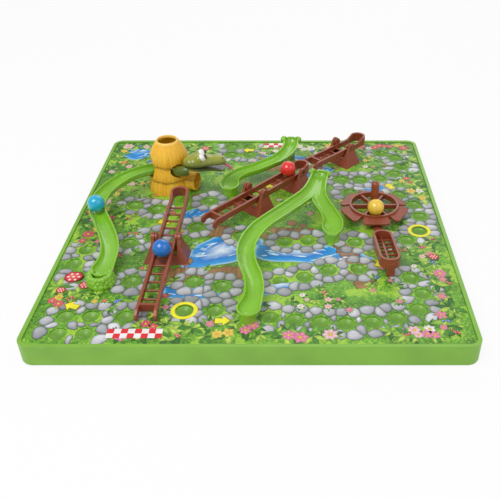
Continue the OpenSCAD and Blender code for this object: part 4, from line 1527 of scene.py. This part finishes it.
def skinMaterial():
    material, tree, shader = startMaterial("snakeSkin")
    ink = addNode(tree, "ShaderNodeAttribute", attribute_name="ink")
    fine = useGroup(tree, grainGroup, Fine_Scale=700.0, Slow_Scale=110.0)
    tone = addRamp(tree, fine.outputs["Slow"], [(0.3, (0.82, 0.82, 0.80)), (0.7, (1.0, 1.0, 1.0))])
    tree.links.new(addMix(tree, 1.0, ink.outputs["Color"], tone, "MULTIPLY"), shader.inputs["Base Color"])
    shader.inputs["Roughness"].default_value = 0.3
    shader.inputs["Coat Weight"].default_value = 0.5
    shader.inputs["Coat Roughness"].default_value = 0.15
    tree.links.new(addBump(tree, fine.outputs["Height"], 0.1, 0.0003), shader.inputs["Normal"])
    return material


def buildSnake():
    skin = skinMaterial()
    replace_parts(headHalf("snakeFace", snake["skull"], skin, False), "snake_head")
    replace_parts(headHalf("snakeChin", -snake["jaw"], skin, True), "snake_jaw")
    long = snake["long"]
    wide = snake["wide"]
    skull = snake["skull"]
    for side, hand in ((-1, "Right"), (1, "Left")):
        brow = headPlace(-0.10 * long - 0.5, side * 0.23 * wide, 0.62 * skull + 0.1)
        ballPiece("snakeBrow" + hand, brow, snake["brow"], skin, ink=snake["top"])
        nostril = headPlace(0.42 * long, side * 0.16 * wide, 0.58 * skull)
        ballPiece("snakeNostril" + hand, nostril, snake["nostril"], skin, 12, snake["nostrilInk"])
    dress("snake_neck", plastic("oliveNeck"))
    dress("snake_eyes", plastic("eyeWhite"))
    dress("snake_pupils", plastic("pupilBlack"))
    dress("snake_tongue", plastic("tonguePink"))


buildHut()
print("hut thatched")
buildSnake()
print("snake in place")
for node in ("slide_hut", "slide_fork", "slide_back"):
    dress(node, slidePlastic)


# Moulded leafy mound round the low end of the hut's slide, open where the slide comes in.
# Each ring is reach, height, size of its lumps and their number
mound = {
    "place": (-113.6, -84.4),
    "rings": [(8.4, 1.4, 2.9, 12), (8.0, 4.2, 2.6, 13), (7.4, 6.6, 2.3, 14)],
    "slideHeading": 92,
    "gap": 62,
    "seed": 3,
}


def buildMound():
    draw = random.Random(mound["seed"])
    count = 0
    for reach, rise, size, lumps in mound["rings"]:
        for k in range(lumps):
            share = k / (lumps - 1)
            spread = (360 - 2 * mound["gap"]) * share
            angle = math.radians(mound["slideHeading"] + mound["gap"] + spread)
            away = reach + draw.uniform(-0.4, 0.4)
            radius = size * draw.uniform(0.88, 1.08)
            x = mound["place"][0] + away * math.cos(angle)
            y = mound["place"][1] + away * math.sin(angle)
            radii = (radius, radius, 1.1 * radius)
            count += 1
            name = "slideMound" + str(count)
            ballPiece(name, (x, y, cardLevel + rise), radii, slidePlastic, 12)


buildMound()
print("mound in place")
